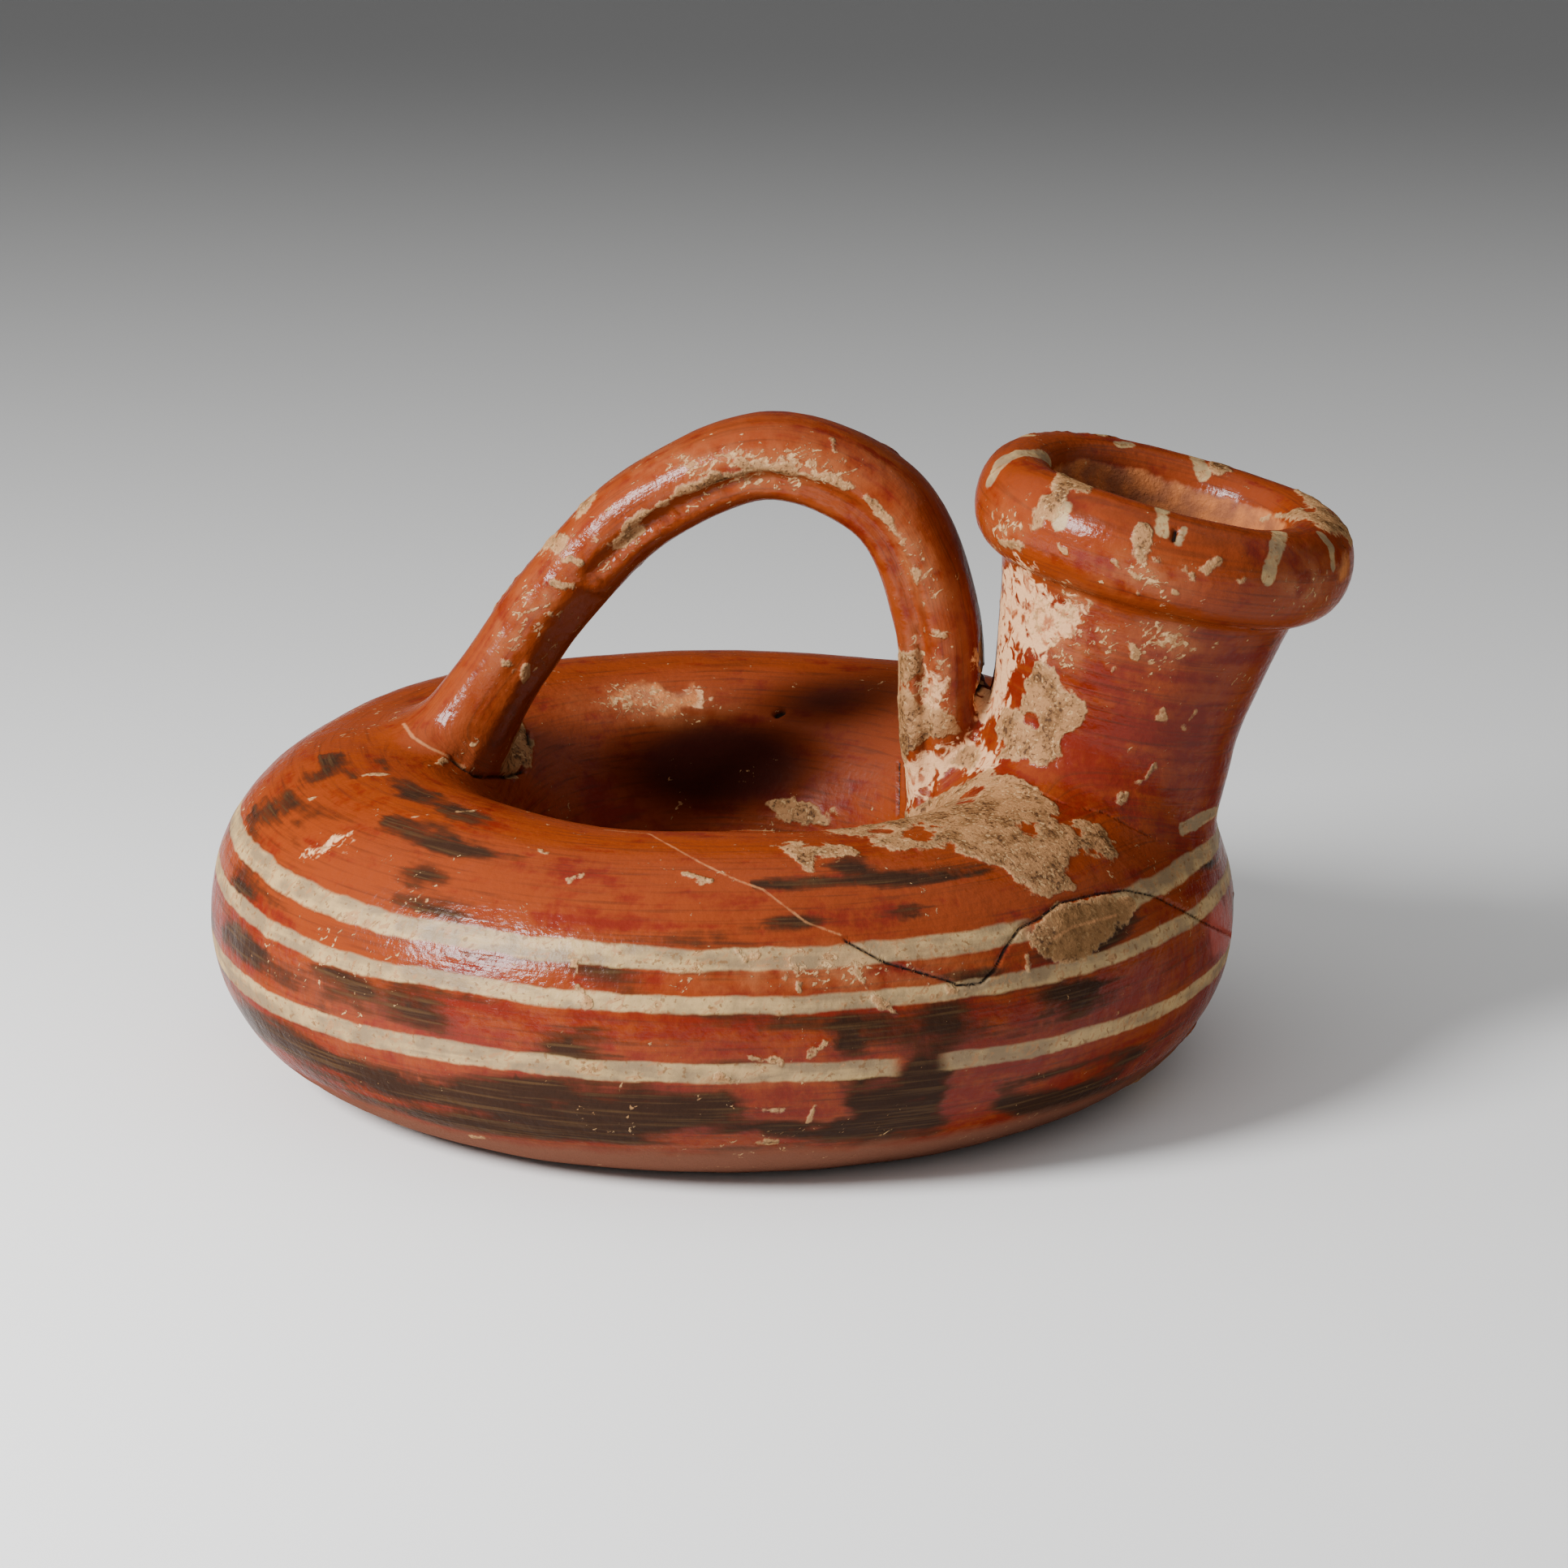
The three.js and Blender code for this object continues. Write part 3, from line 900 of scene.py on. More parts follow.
class Desk:
    """Lays out the nodes of one material."""

    def __init__(self, name: str) -> None:
        """Starts a material with only its surface node.

        Args:
            name: the material's name.
        """
        self.material = bpy.data.materials.new(name)
        self.material.use_nodes = True
        self.tree = self.material.node_tree
        self.surface = self.tree.nodes["Principled BSDF"]
        self.named: dict[str, bpy.types.NodeSocket] = {}

    def put(self, kind: str, **settings: object) -> bpy.types.Node:
        """Adds a node with its settings.

        Args:
            kind: the node's type.
            settings: the node's properties by name.

        Returns:
            The node.
        """
        node = self.tree.nodes.new(kind)
        for name, value in settings.items():
            setattr(node, name, value)
        return node

    def feed(self, socket: bpy.types.NodeSocket, source: Source) -> None:
        """Links a socket to a source, or sets it.

        Args:
            socket: the socket that takes it in.
            source: another socket, or a plain value.
        """
        if isinstance(source, bpy.types.NodeSocket):
            self.tree.links.new(source, socket)
        else:
            socket.default_value = source

    def sum(self, operation: str, *terms: Source) -> bpy.types.NodeSocket:
        """One step of arithmetic.

        Args:
            operation: the step's name.
            terms: what goes into it, in order.

        Returns:
            The result's socket.
        """
        node = self.put("ShaderNodeMath", operation=operation)
        for socket, term in zip(node.inputs, terms):
            self.feed(socket, term)
        return node.outputs[0]

    def read(self, name: str, output: str = "Fac") -> bpy.types.NodeSocket:
        """A value kept on the mesh."""
        return self.put("ShaderNodeAttribute", attribute_name=name).outputs[output]

    def value(self, recipe: Recipe) -> bpy.types.NodeSocket:
        """The sum of what a recipe names, by share; a name that is new is read from the mesh.

        Args:
            recipe: the names and their shares.

        Returns:
            The sum's socket.
        """
        result = None
        for name, share in recipe:
            if name not in self.named:
                self.named[name] = self.read(name)
            source = self.named[name]
            if result is not None:
                result = self.sum("MULTIPLY_ADD", source, share, result)
            else:
                result = source if share == 1.0 else self.sum("MULTIPLY", source, share)
        return result

    def step(self, value: Source, start: float, end: float, top: float = 1.0) -> bpy.types.NodeSocket:
        """A smooth climb from 0 to a top between two values, which may fall instead.

        Args:
            value: the value that climbs.
            start: where the climb starts.
            end: where it ends.
            top: how far it goes.

        Returns:
            The climb's socket.
        """
        node = self.put("ShaderNodeMapRange", interpolation_type="SMOOTHSTEP")
        self.feed(node.inputs["Value"], value)
        falling = start > end
        node.inputs["From Min"].default_value = min(start, end)
        node.inputs["From Max"].default_value = max(start, end)
        node.inputs["To Min"].default_value = top if falling else 0.0
        node.inputs["To Max"].default_value = 0.0 if falling else top
        return node.outputs["Result"]

    def noise(self, place: Source, mottle: Mottle) -> bpy.types.NodeSocket:
        """Soft noise around one half.

        Args:
            place: where the noise is taken.
            mottle: the noise's look.

        Returns:
            The noise's socket.
        """
        node = self.put("ShaderNodeTexNoise")
        self.feed(node.inputs["Vector"], place)
        node.inputs["Scale"].default_value = mottle.scale
        node.inputs["Detail"].default_value = mottle.detail
        node.inputs["Distortion"].default_value = mottle.twist
        return node.outputs["Fac"]

    def mix(
        self, share: Source, under: Source, over: Source, kind: Mixed = Mixed.COLOURS
    ) -> bpy.types.NodeSocket:
        """One colour or number over another by a share.

        Args:
            share: how much of the upper one shows.
            under: what lies underneath.
            over: what lies on top.
            kind: whether colours or numbers are mixed.

        Returns:
            The mix's socket.
        """
        data_type, first, second, result = kind.value
        node = self.put("ShaderNodeMix", data_type=data_type)
        self.feed(node.inputs[0], share)
        self.feed(node.inputs[first], under)
        self.feed(node.inputs[second], over)
        return node.outputs[result]

    def mask(self, layer: Layer) -> bpy.types.NodeSocket:
        """How far a layer covers each place."""
        return self.step(self.value(layer.recipe), layer.start, layer.end, layer.cover)

    def lay(self, under: Source, *layers: Layer) -> Source:
        """Layers in their own colours over what is there, in turn.

        Args:
            under: what lies underneath.
            layers: the layers from the lowest up.

        Returns:
            The topmost colour.
        """
        for layer in layers:
            under = self.mix(self.mask(layer), under, layer.colour)
        return under


@dataclass(frozen=True)
class Skin:
    """The noises that the finish is made of: some run with the burnishing, the others lie evenly."""

    even: tuple[tuple[str, Mottle], ...] = (
        ("blot", Mottle(70.0, 4.0, 0.6)),
        ("fine", Mottle(400.0, 4.0)),
        ("tiny", Mottle(1400.0)),
        ("scratch", Mottle(750.0, 6.0, 1.0)),
        ("web", Mottle(430.0, 5.0, 1.5)),
        ("grit", Mottle(2300.0, 4.0, 0.5)),
        ("lump", Mottle(170.0, 2.0)),
    )
    streak: Mottle = Mottle(0.5, 5.0, 0.5)
    wide: Mottle = Mottle(0.17, 4.0, 0.6)
    hair: Mottle = Mottle(2.4, 2.0)
    hair_draw: Triple = (0.22, 0.22, 1.0)
    speck: Mottle = Mottle(1200.0, 5.0, 1.2)
    speck_slant: float = 35.0
    speck_draw: Triple = (2.2, 1.0, 1.0)
    middle: float = 0.5

    def name_on(self, desk: Desk) -> None:
        """Makes every noise known by its name.

        Args:
            desk: the desk of the material.
        """
        place = desk.put("ShaderNodeTexCoord").outputs["Object"]
        grain = desk.read("grain", "Vector")
        drawn = desk.put("ShaderNodeVectorMath", operation="MULTIPLY")
        desk.feed(drawn.inputs[0], grain)
        drawn.inputs[1].default_value = self.hair_draw
        slanted = desk.put("ShaderNodeMapping", vector_type="TEXTURE")
        desk.feed(slanted.inputs["Vector"], place)
        slanted.inputs["Rotation"].default_value = (0.0, -math.radians(self.speck_slant), 0.0)
        slanted.inputs["Scale"].default_value = self.speck_draw
        for name, mottle in self.even:
            desk.named[name] = desk.noise(place, mottle)
        desk.named["streak"] = desk.noise(grain, self.streak)
        desk.named["wide"] = desk.noise(grain, self.wide)
        desk.named["hair"] = desk.noise(drawn.outputs[0], self.hair)
        desk.named["speck"] = desk.noise(slanted.outputs["Vector"], self.speck)
        off = desk.sum("SUBTRACT", desk.named["web"], self.middle)
        desk.named["lace"] = desk.sum("ABSOLUTE", off)


@dataclass(frozen=True)
class Slip:
    """The burnished slip, from bright orange to the black-brown of fire clouds, its pink blush and
    painted shade in the hole.
    """

    orange: Colour = (0.198, 0.031, 0.0055, 1.0)
    red: Colour = (0.142, 0.0115, 0.004, 1.0)
    brown: Colour = (0.050, 0.014, 0.006, 1.0)
    black: Colour = (0.024, 0.012, 0.007, 1.0)
    olive: Colour = (0.085, 0.045, 0.018, 1.0)
    # painted shade: the colour that stands in for the cast shadow in the hole
    painted_shade_colour: Colour = (0.028, 0.006, 0.004, 1.0)
    blush: Colour = (0.38, 0.07, 0.05, 1.0)
    tone: Recipe = blend(streak=0.45, blot=0.35, fine=0.3, tiny=0.15, warm=1.0)
    bright: Layer = Layer(tone, 0.54, 0.70, 1.0, orange)
    hairs: Layer = Layer(blend(hair=1.0), 0.48, 0.78, 0.5, brown)
    smoke: Recipe = blend(cloud=0.42, streak=0.85, wide=0.35, hair=0.3, fine=0.35)
    smoked: Layer = Layer(blend(smoke=1.0), 0.82, 1.08, 0.75, brown)
    sooted: Layer = Layer(blend(smoke=1.0), 0.98, 1.24, 0.92)
    soot_hairs: Layer = Layer(blend(hair=1.0), 0.46, 0.70, 0.6, olive)
    # painted shade laid over the slip in the hole
    painted_shade_layer: Layer = Layer(blend(shade=1.0), 0.0, 1.0, 0.95, painted_shade_colour)
    blushed: Layer = Layer(blend(blush=1.0, fine=2.0), 0.4, 1.8, 0.7, blush)

    def lay(self, desk: Desk) -> Source:
        """The slip's colour, with its smoke made known by name.

        Args:
            desk: the desk of the material.

        Returns:
            The slip's colour.
        """
        desk.named["smoke"] = desk.value(self.smoke)
        colour = desk.lay(self.red, self.bright, self.hairs, self.smoked)
        colour = desk.mix(desk.mask(self.sooted), colour, desk.lay(self.black, self.soot_hairs))
        # the painted shade goes on last, under only the blush
        return desk.lay(colour, self.painted_shade_layer, self.blushed)


@dataclass(frozen=True)
class Soil:
    """What lies on the slip or shows through it: lime crust, bare clay, scuffs, dust, cracks and gaps;
    some gaps are painted crease shade, and the dust film is partly painted sheen and fill light.
    """

    crust: Colour = (0.32, 0.162, 0.068, 1.0)
    crust_brown: Colour = (0.165, 0.080, 0.030, 1.0)
    crust_dark: Colour = (0.055, 0.028, 0.014, 1.0)
    crust_pale: Colour = (0.54, 0.34, 0.16, 1.0)
    clay: Colour = (0.44, 0.145, 0.045, 1.0)
    clay_dark: Colour = (0.26, 0.09, 0.04, 1.0)
    foot: Colour = (0.17, 0.068, 0.042, 1.0)
    scuff: Colour = (0.70, 0.40, 0.20, 1.0)
    scuff_red: Colour = (0.36, 0.12, 0.05, 1.0)
    dust: Colour = (0.50, 0.22, 0.09, 1.0)
    # the dark of cracks and gaps, and of the painted crease shade
    dark: Colour = (0.010, 0.006, 0.004, 1.0)
    scuffed: Layer = Layer(blend(worn=1.0, fine=4.0, scratch=5.0), 4.3, 5.1, 0.88)
    scuff_pale: Layer = Layer(blend(scratch=1.0), 0.34, 0.52, 1.0, scuff)
    footed: Layer = Layer(blend(height=1.0, blot=-3.0, fine=-1.5), 4.6, 2.0)
    bared: Layer = Layer(blend(raw=1.0, fine=2.0), 0.8, 1.6)
    clay_light: Layer = Layer(blend(fine=1.0), 0.35, 0.65, 1.0, clay)
    # a film of dust, which also stands in for sheen and fill light: partly painted light on the handle's
    # shaded side
    dust_and_sheen_veil: Layer = Layer(blend(fine=1.0), 0.3, 0.7, 0.28)
    flecked: Layer = Layer(
        blend(lace=-0.9, speck=0.75, fine=0.3, blot=0.4, dust=0.15), 0.86, 0.90, 0.85
    )
    fleck_pale: Layer = Layer(blend(tiny=1.0), 0.42, 0.62, 1.0, crust_pale)
    depth: Recipe = blend(crust=1.0, fine=1.4, tiny=1.2)
    crusted: Layer = Layer(blend(depth=1.0), 1.1, 1.5)
    crust_cover: float = 0.96
    earth: tuple[Layer, ...] = (
        Layer(blend(fine=0.6, tiny=0.4), 0.42, 0.56, 1.0, crust),
        Layer(blend(grit=0.7, fine=-0.3), 0.23, 0.32, 0.9, crust_dark),
        Layer(blend(grit=0.6, tiny=0.4), 0.45, 0.38, 0.6, crust_pale),
        Layer(blend(depth=1.0), 1.8, 1.3, 0.35, crust_pale),
        Layer(blend(cloud=1.0), 0.2, 0.9, 0.65, crust_brown),
    )
    splits: tuple[Layer, ...] = (
        Layer(blend(seam=1.0, tiny=0.3), 0.36, 0.1, 0.55, dust),
        Layer(blend(crack=1.0, tiny=0.2), 0.22, 0.04, 1.0, dark),
        # gaps and pits, partly painted shade in creases
        Layer(blend(gap=1.0, tiny=0.3), 0.35, 0.05, 1.0, dark),
    )

    def lay(self, desk: Desk, colour: Source) -> Source:
        """Wear, dust, crust and cracks over a colour, with all that is dull made known by name.

        Args:
            desk: the desk of the material.
            colour: the colour underneath.

        Returns:
            The colour on top.
        """
        scuffed, footed, bare, flecked = (
            desk.mask(layer) for layer in (self.scuffed, self.footed, self.bared, self.flecked)
        )
        colour = desk.mix(scuffed, colour, desk.lay(self.scuff_red, self.scuff_pale))
        colour = desk.mix(footed, colour, self.foot)
        colour = desk.mix(bare, colour, desk.lay(self.clay_dark, self.clay_light))
        # dust, partly painted sheen and fill light
        dusty = desk.sum("MULTIPLY", desk.value(blend(dust=1.0)), desk.mask(self.dust_and_sheen_veil))
        colour = desk.mix(dusty, colour, self.dust)
        colour = desk.mix(flecked, colour, desk.lay(self.crust, self.fleck_pale))
        desk.named["depth"] = desk.value(self.depth)
        crusted = desk.mask(self.crusted)
        cover = desk.sum("MULTIPLY", crusted, self.crust_cover)
        colour = desk.mix(cover, colour, desk.lay(self.crust_brown, *self.earth))
        dull = crusted
        for mask in (bare, scuffed, flecked, footed):
            dull = desk.sum("MAXIMUM", dull, mask)
        desk.named["dull"] = dull
        return desk.lay(colour, *self.splits)


@dataclass(frozen=True)
class Band:
    """One painted band on the belly: its height and half width in front, and their change aside."""

    height: float
    half: float
    lean: float
    dip: float
    taper: float


@dataclass(frozen=True)
class Paint:
    """The cream painted bands, which lean and dip a little on their way around the ring, and strokes."""

    bands: tuple[Band, ...] = (
        Band(27.75, 1.12, -0.47, -0.49, 0.0),
        Band(23.25, 0.97, -0.45, 0.0, 0.0),
        Band(15.95, 1.15, -0.55, 1.2, 0.22),
    )
    front: float = -82.0
    past_crest: float = 40.0
    waver: Recipe = blend(height=1.0, blot=1.2, fine=0.6)
    waver_mean: float = 0.9
    edge_out: float = 0.12
    edge_in: float = 0.25
    unfaded: Layer = Layer(blend(faded=1.0, fine=1.0), 2.0, -0.3)
    stroked: Layer = Layer(blend(paint=1.0, fine=1.2, tiny=0.5), 1.0, 0.7)
    cover: float = 0.96
    cream: Colour = (0.42, 0.28, 0.125, 1.0)
    thin: Colour = (0.22, 0.15, 0.08, 1.0)
    coats: tuple[Layer, ...] = (
        Layer(blend(fine=0.4, streak=0.6), 0.42, 0.62, 1.0, cream),
        Layer(blend(speck=0.7, fine=0.3), 0.54, 0.60, 0.75, Soil.crust),
        Layer(blend(tiny=1.0), 0.60, 0.66, 0.7, Soil.crust_brown),
    )

    def height(self, ring: Ring, points: Array) -> Array:
        """The height of each point; beyond the crest it goes on climbing."""
        out = np.hypot(points[:, 0], points[:, 1])
        return np.where(out > ring.mid_radius, points[:, 2], self.past_crest + ring.mid_radius - out)

    def aside(self, points: Array) -> Array:
        """How far to a side of the ring each point is: 0 at the front and back, -1 and 1 at the sides."""
        return np.sin(np.arctan2(points[:, 1], points[:, 0]) - math.radians(self.front))

    def lay(self, desk: Desk, colour: Source) -> Source:
        """The bands and strokes over a colour, with what is painted made known by name.

        Args:
            desk: the desk of the material.
            colour: the colour underneath.

        Returns:
            The colour on top.
        """
        waver, aside = desk.value(self.waver), desk.value(blend(aside=1.0))
        squared = desk.sum("MULTIPLY", aside, aside)
        painted: Source = 0.0
        for band in self.bands:
            off = desk.sum("MULTIPLY_ADD", aside, -band.lean, waver)
            off = desk.sum("MULTIPLY_ADD", squared, band.dip, off)
            off = desk.sum("ABSOLUTE", desk.sum("SUBTRACT", off, band.height + self.waver_mean))
            off = desk.sum("MULTIPLY_ADD", aside, band.taper, off)
            shown = desk.step(off, band.half + self.edge_out, band.half - self.edge_in)
            painted = desk.sum("MAXIMUM", painted, shown)
        painted = desk.sum("MULTIPLY", painted, desk.mask(self.unfaded))
        painted = desk.sum("MAXIMUM", painted, desk.mask(self.stroked))
        desk.named["painted"] = painted
        cover = desk.sum("MULTIPLY", painted, self.cover)
        return desk.mix(cover, colour, desk.lay(self.thin, *self.coats))


@dataclass(frozen=True)
class Gloss:
    """How the finish takes the light: burnished slip glints, and smoke, soil and bare clay are dull."""

    rough: Recipe = blend(hair=0.24, fine=0.2, painted=0.2, inner=0.25)
    rough_from: float = -0.01
    rough_dull: float = 0.88
    shine: float = 0.18
    shine_least: float = 0.012
    dimmed: tuple[Layer, ...] = (
        Layer(blend(aslant=1.0), 0.22, 0.6),
        # the painted shade in the hole is made dull as well
        Layer(blend(shade=1.0), 0.0, 0.6),
        Layer(blend(smoke=1.0), 0.92, 1.15, 0.7),
    )
    relief: Recipe = blend(lump=0.22, hair=0.03, fine=0.15, tiny=0.08, dull_grit=0.16)
    relief_height: float = MM

    def set_on(self, desk: Desk) -> None:
        """Sets the roughness, the shine and the finest relief.

        Args:
            desk: the desk of the material.
        """
        inputs, named = desk.surface.inputs, desk.named
        rough = desk.sum("ADD", desk.value(self.rough), self.rough_from)
        desk.feed(inputs["Roughness"], desk.mix(named["dull"], rough, self.rough_dull, Mixed.NUMBERS))
        named["aslant"] = desk.put("ShaderNodeLayerWeight").outputs["Facing"]
        shine: Source = self.shine
        for layer in self.dimmed:
            shine = desk.mix(desk.mask(layer), shine, self.shine_least, Mixed.NUMBERS)
        desk.feed(inputs["Specular IOR Level"], shine)
        named["dull_grit"] = desk.sum("MULTIPLY", named["grit"], named["dull"])
        relief = desk.put("ShaderNodeBump")
        relief.inputs["Strength"].default_value = 1.0
        relief.inputs["Distance"].default_value = self.relief_height
        desk.feed(relief.inputs["Height"], desk.value(self.relief))
        desk.feed(inputs["Normal"], relief.outputs["Normal"])


@dataclass(frozen=True)
class Finish:
    """The vessel's one finish, from the slip up through paint, wear, crust and cracks."""

    skin: Skin = Skin()
    slip: Slip = Slip()
    paint: Paint = Paint()
    soil: Soil = Soil()
    gloss: Gloss = Gloss()

    def material(self) -> bpy.types.Material:
        """Lays the finish out as a material.

        Returns:
            The material.
        """
        desk = Desk("slipped clay")
        self.skin.name_on(desk)
        colour = self.soil.lay(desk, self.paint.lay(desk, self.slip.lay(desk)))
        desk.feed(desk.surface.inputs["Base Color"], colour)
        self.gloss.set_on(desk)
        return desk.material


@dataclass
class Shell:
    """A closed triangle mesh in mm."""

    points: Array
    triangles: Array

    @classmethod
    def around(cls, distance: Distance, low: Array, high: Array, pitch: float) -> "Shell":
        """Meshes the zero level of a distance on an even lattice.

        Args:
            distance: the distance to the wanted surface.
            low: lowest corner of the lattice.
            high: highest corner of the lattice.
            pitch: the lattice's spacing.

        Returns:
            The mesh, facing outwards, with its points moved onto the surface.
        """
        axes = [np.arange(start, end, pitch) for start, end in zip(low, high)]
        field_values = np.empty([len(axis) for axis in axes], dtype=np.float32)
        across = np.stack(np.meshgrid(axes[1], axes[2], indexing="ij"), -1).reshape(-1, 2)
        for i, x in enumerate(axes[0]):
            plane = np.column_stack([np.full(len(across), x), across])
            field_values[i] = distance(plane).reshape(field_values.shape[1:])
        limit = LATTICE_BAND * pitch
        grid = openvdb.FloatGrid(limit)
        grid.copyFromArray(np.clip(field_values, -limit, limit))
        places, quads = grid.convertToQuads(0.0)
        triangles = np.vstack([quads[:, [0, 1, 2]], quads[:, [0, 2, 3]]]).astype(np.int64)
        shell = cls(places.astype(float) * pitch + np.array(low), triangles)
        corners = shell.points[shell.triangles]
        if np.einsum("ij,ij->i", corners[:, 0], np.cross(corners[:, 1], corners[:, 2])).sum() < 0.0:
            shell.triangles = shell.triangles[:, ::-1]
        shell.settle(distance)
        return shell

    def settle(self, distance: Distance, rounds: int = 3) -> None:
        """Moves the points onto the zero level of a distance.

        Args:
            distance: the distance to the surface.
            rounds: how often the points are moved.
        """
        for _ in range(rounds):
            away = distance(self.points)
            self.points = self.points - away[:, None] * facing(distance, self.points)

    def split(self, wanted: Array) -> None:
        """Halves every edge that has an end at a wanted point, and divides the triangles to suit.

        Args:
            wanted: which points are to have finer triangles around them.
        """
        sides = [self.triangles[:, pair] for pair in ([0, 1], [1, 2], [2, 0])]
        edges = np.sort(np.vstack(sides), 1)
        unique, back = np.unique(edges, axis=0, return_inverse=True)
        cut = wanted[unique].any(1)
        place = np.full(len(unique), -1)
        place[cut] = len(self.points) + np.arange(cut.sum())
        middles = place[back.reshape(3, -1).T]
        self.points = np.vstack([self.points, self.points[unique[cut]].mean(1)])
        made = []
        count = (middles >= 0).sum(1)
        made.append(self.triangles[count == 0])
        for number, turn_on in ((1, 1), (2, 0), (3, 1)):
            chosen = count == number
            corners, mids = self.triangles[chosen], middles[chosen]
            odd = np.argmax((mids >= 0) == bool(turn_on), axis=1)
            order = (odd[:, None] + np.arange(3)) % 3
            a, b, c = np.take_along_axis(corners, order, 1).T
            ab, bc, ca = np.take_along_axis(mids, order, 1).T
            if number == 1:
                made += [np.stack(t, 1) for t in ((a, ab, c), (ab, b, c))]
            elif number == 2:
                made += [np.stack(t, 1) for t in ((a, b, bc), (a, bc, ca), (ca, bc, c))]
            else:
                made += [np.stack(t, 1) for t in ((a, ab, ca), (ab, b, bc), (ca, bc, c), (ab, bc, ca))]
        self.triangles = np.vstack(made)

    def without(self, other: "Shell") -> "Shell":
        """This shell with another one cut out of it.

        Args:
            other: the shell that is cut out.

        Returns:
            What is left, as a new shell.
        """
        whole, taken = self.stood("whole"), other.stood("taken")
        cut = whole.modifiers.new("cut", "BOOLEAN")
        cut.operation = "DIFFERENCE"
        cut.solver = "MANIFOLD"
        cut.object = taken
        bpy.context.view_layer.update()
        mesh = bpy.data.meshes.new_from_object(whole.evaluated_get(bpy.context.evaluated_depsgraph_get()))
        mesh.calc_loop_triangles()
        points = np.empty(len(mesh.vertices) * 3, dtype=np.float32)
        triangles = np.empty(len(mesh.loop_triangles) * 3, dtype=np.int32)
        mesh.vertices.foreach_get("co", points)
        mesh.loop_triangles.foreach_get("vertices", triangles)
        for spent in (whole, taken):
            bpy.data.meshes.remove(spent.data)
        bpy.data.meshes.remove(mesh)
        return Shell(points.reshape(-1, 3).astype(float), triangles.reshape(-1, 3).astype(np.int64))

    def stood(self, name: str, scale: float = 1.0, shift: Vector | None = None) -> bpy.types.Object:
        """The shell as an object of the scene.

        Args:
            name: the object's name.
            scale: how much the shell is scaled.
            shift: how far it is moved after that.

        Returns:
            The object, linked to the scene.
        """
        mesh = bpy.data.meshes.new(name)
        places = self.points * scale + (np.array(shift) if shift is not None else 0.0)
        mesh.vertices.add(len(places))
        mesh.vertices.foreach_set("co", places.astype(np.float32).ravel())
        mesh.loops.add(self.triangles.size)
        mesh.loops.foreach_set("vertex_index", self.triangles.astype(np.int32).ravel())
        mesh.polygons.add(len(self.triangles))
        mesh.polygons.foreach_set("loop_start", np.arange(0, self.triangles.size, 3, dtype=np.int32))
        mesh.update(calc_edges=True)
        mesh.shade_smooth()
        made = bpy.data.objects.new(name, mesh)
        bpy.context.scene.collection.objects.link(made)
        return made


def facing(distance: Distance, points: Array, gap: float = 0.04) -> Array:
    """Outward unit directions of a distance at points.

    Args:
        distance: the distance to the surface.
        points: places about the ring's axis, in mm.
        gap: how far apart the distance is felt for.

    Returns:
        One direction for each point.
    """
    corners = np.array([[1, -1, -1], [-1, -1, 1], [-1, 1, -1], [1, 1, 1]], dtype=float)
    slope = sum(corner * distance(points + gap * corner)[:, None] for corner in corners)
    return slope / np.maximum(np.linalg.norm(slope, axis=1, keepdims=True), TINY)


def closeness(part: Ring | Neck | Handle, points: Array, fall: float, far: float = 30.0) -> Array:
    """1 on a part of the vessel, falling off away from it."""
    return np.exp(-np.clip(part.distance(points), 0.0, far) / fall)


@dataclass(frozen=True)
class Wear:
    """How marks lie on the clay: their relief and ragged edges, and what the sides out of view get."""

    crust_height: float = 0.14
    crust_edge: Span = (-0.3, 0.5)
    crust_grit: Lumps = Lumps(1.3, 1.0, 4.0, 1.0)
    crust_ragged: float = 0.9
    crust_hidden: Lumps = Lumps(13.0, 7.0, 6.0, -3.6, 2)
    scuff_depth: float = 0.15
    scuff_edge: Span = (-0.3, 0.8)
    scuff_limit: float = 1.1
    scuff_ragged: float = 1.2
    crack_depth: float = 0.4
    crack_edge: Span = (0.22, -0.08)
    gap_depth: float = 0.7
    gap_edge: Span = (0.4, -0.2)
    ragged: Lumps = Lumps(3.5, 1.0, 1.0)
    uneven: Lumps = Lumps(8.0, 0.1, 8.0)
    mouth_ease: float = 0.6
    mouth_fall: float = 4.0
    mouth_start: float = 1.0
    belly_top: float = 29.0
    smoke_belly: float = -1.1
    smoke_left: float = 0.7
    smoke_left_span: Span = (0.0, 40.0)
    smoke_least: float = -2.4
    smoke_hidden: Lumps = Lumps(18.0, 8.0, 2.0, -1.9)
    smoke_streaks: Lumps = Lumps(3.2, 2.4, 7.0, 0.0, 4)
    smoke_fade: float = 1.8
    smoke_top: float = 0.65
    dust_fade: float = 3.0
    dust_hidden: float = 0.2
    # dust over the handle, partly painted sheen and fill light on its shaded side
    dust_and_sheen_on_handle: float = 0.18
    dust_and_sheen_handle_fall: float = 2.0
    # painted shade: how far inside its patches, in mm, the painted shadow reaches full strength
    shade_fade: float = 5.0
    inner_out: Span = (3.0, 12.0)
    inner_height: Span = (40.0, 36.0)
    # a tone shift: more orange up the ring's shoulder, redder and darker low on the neck's shaft
    warm_top: float = 0.08
    warm_span: Span = (18.0, 34.0)
    cool_neck: float = 0.1
    cool_fall: float = 4.0
    cool_span: Span = (18.0, 14.0)
    rim_half: float = 0.9
    rim_turns: tuple[float, ...] = (38.0, 72.0, 110.0, 148.0)
    rim_tilts: tuple[float, ...] = (-5.0, 15.0, 35.0, 55.0, 75.0)
    rim_slant: float = 0.12


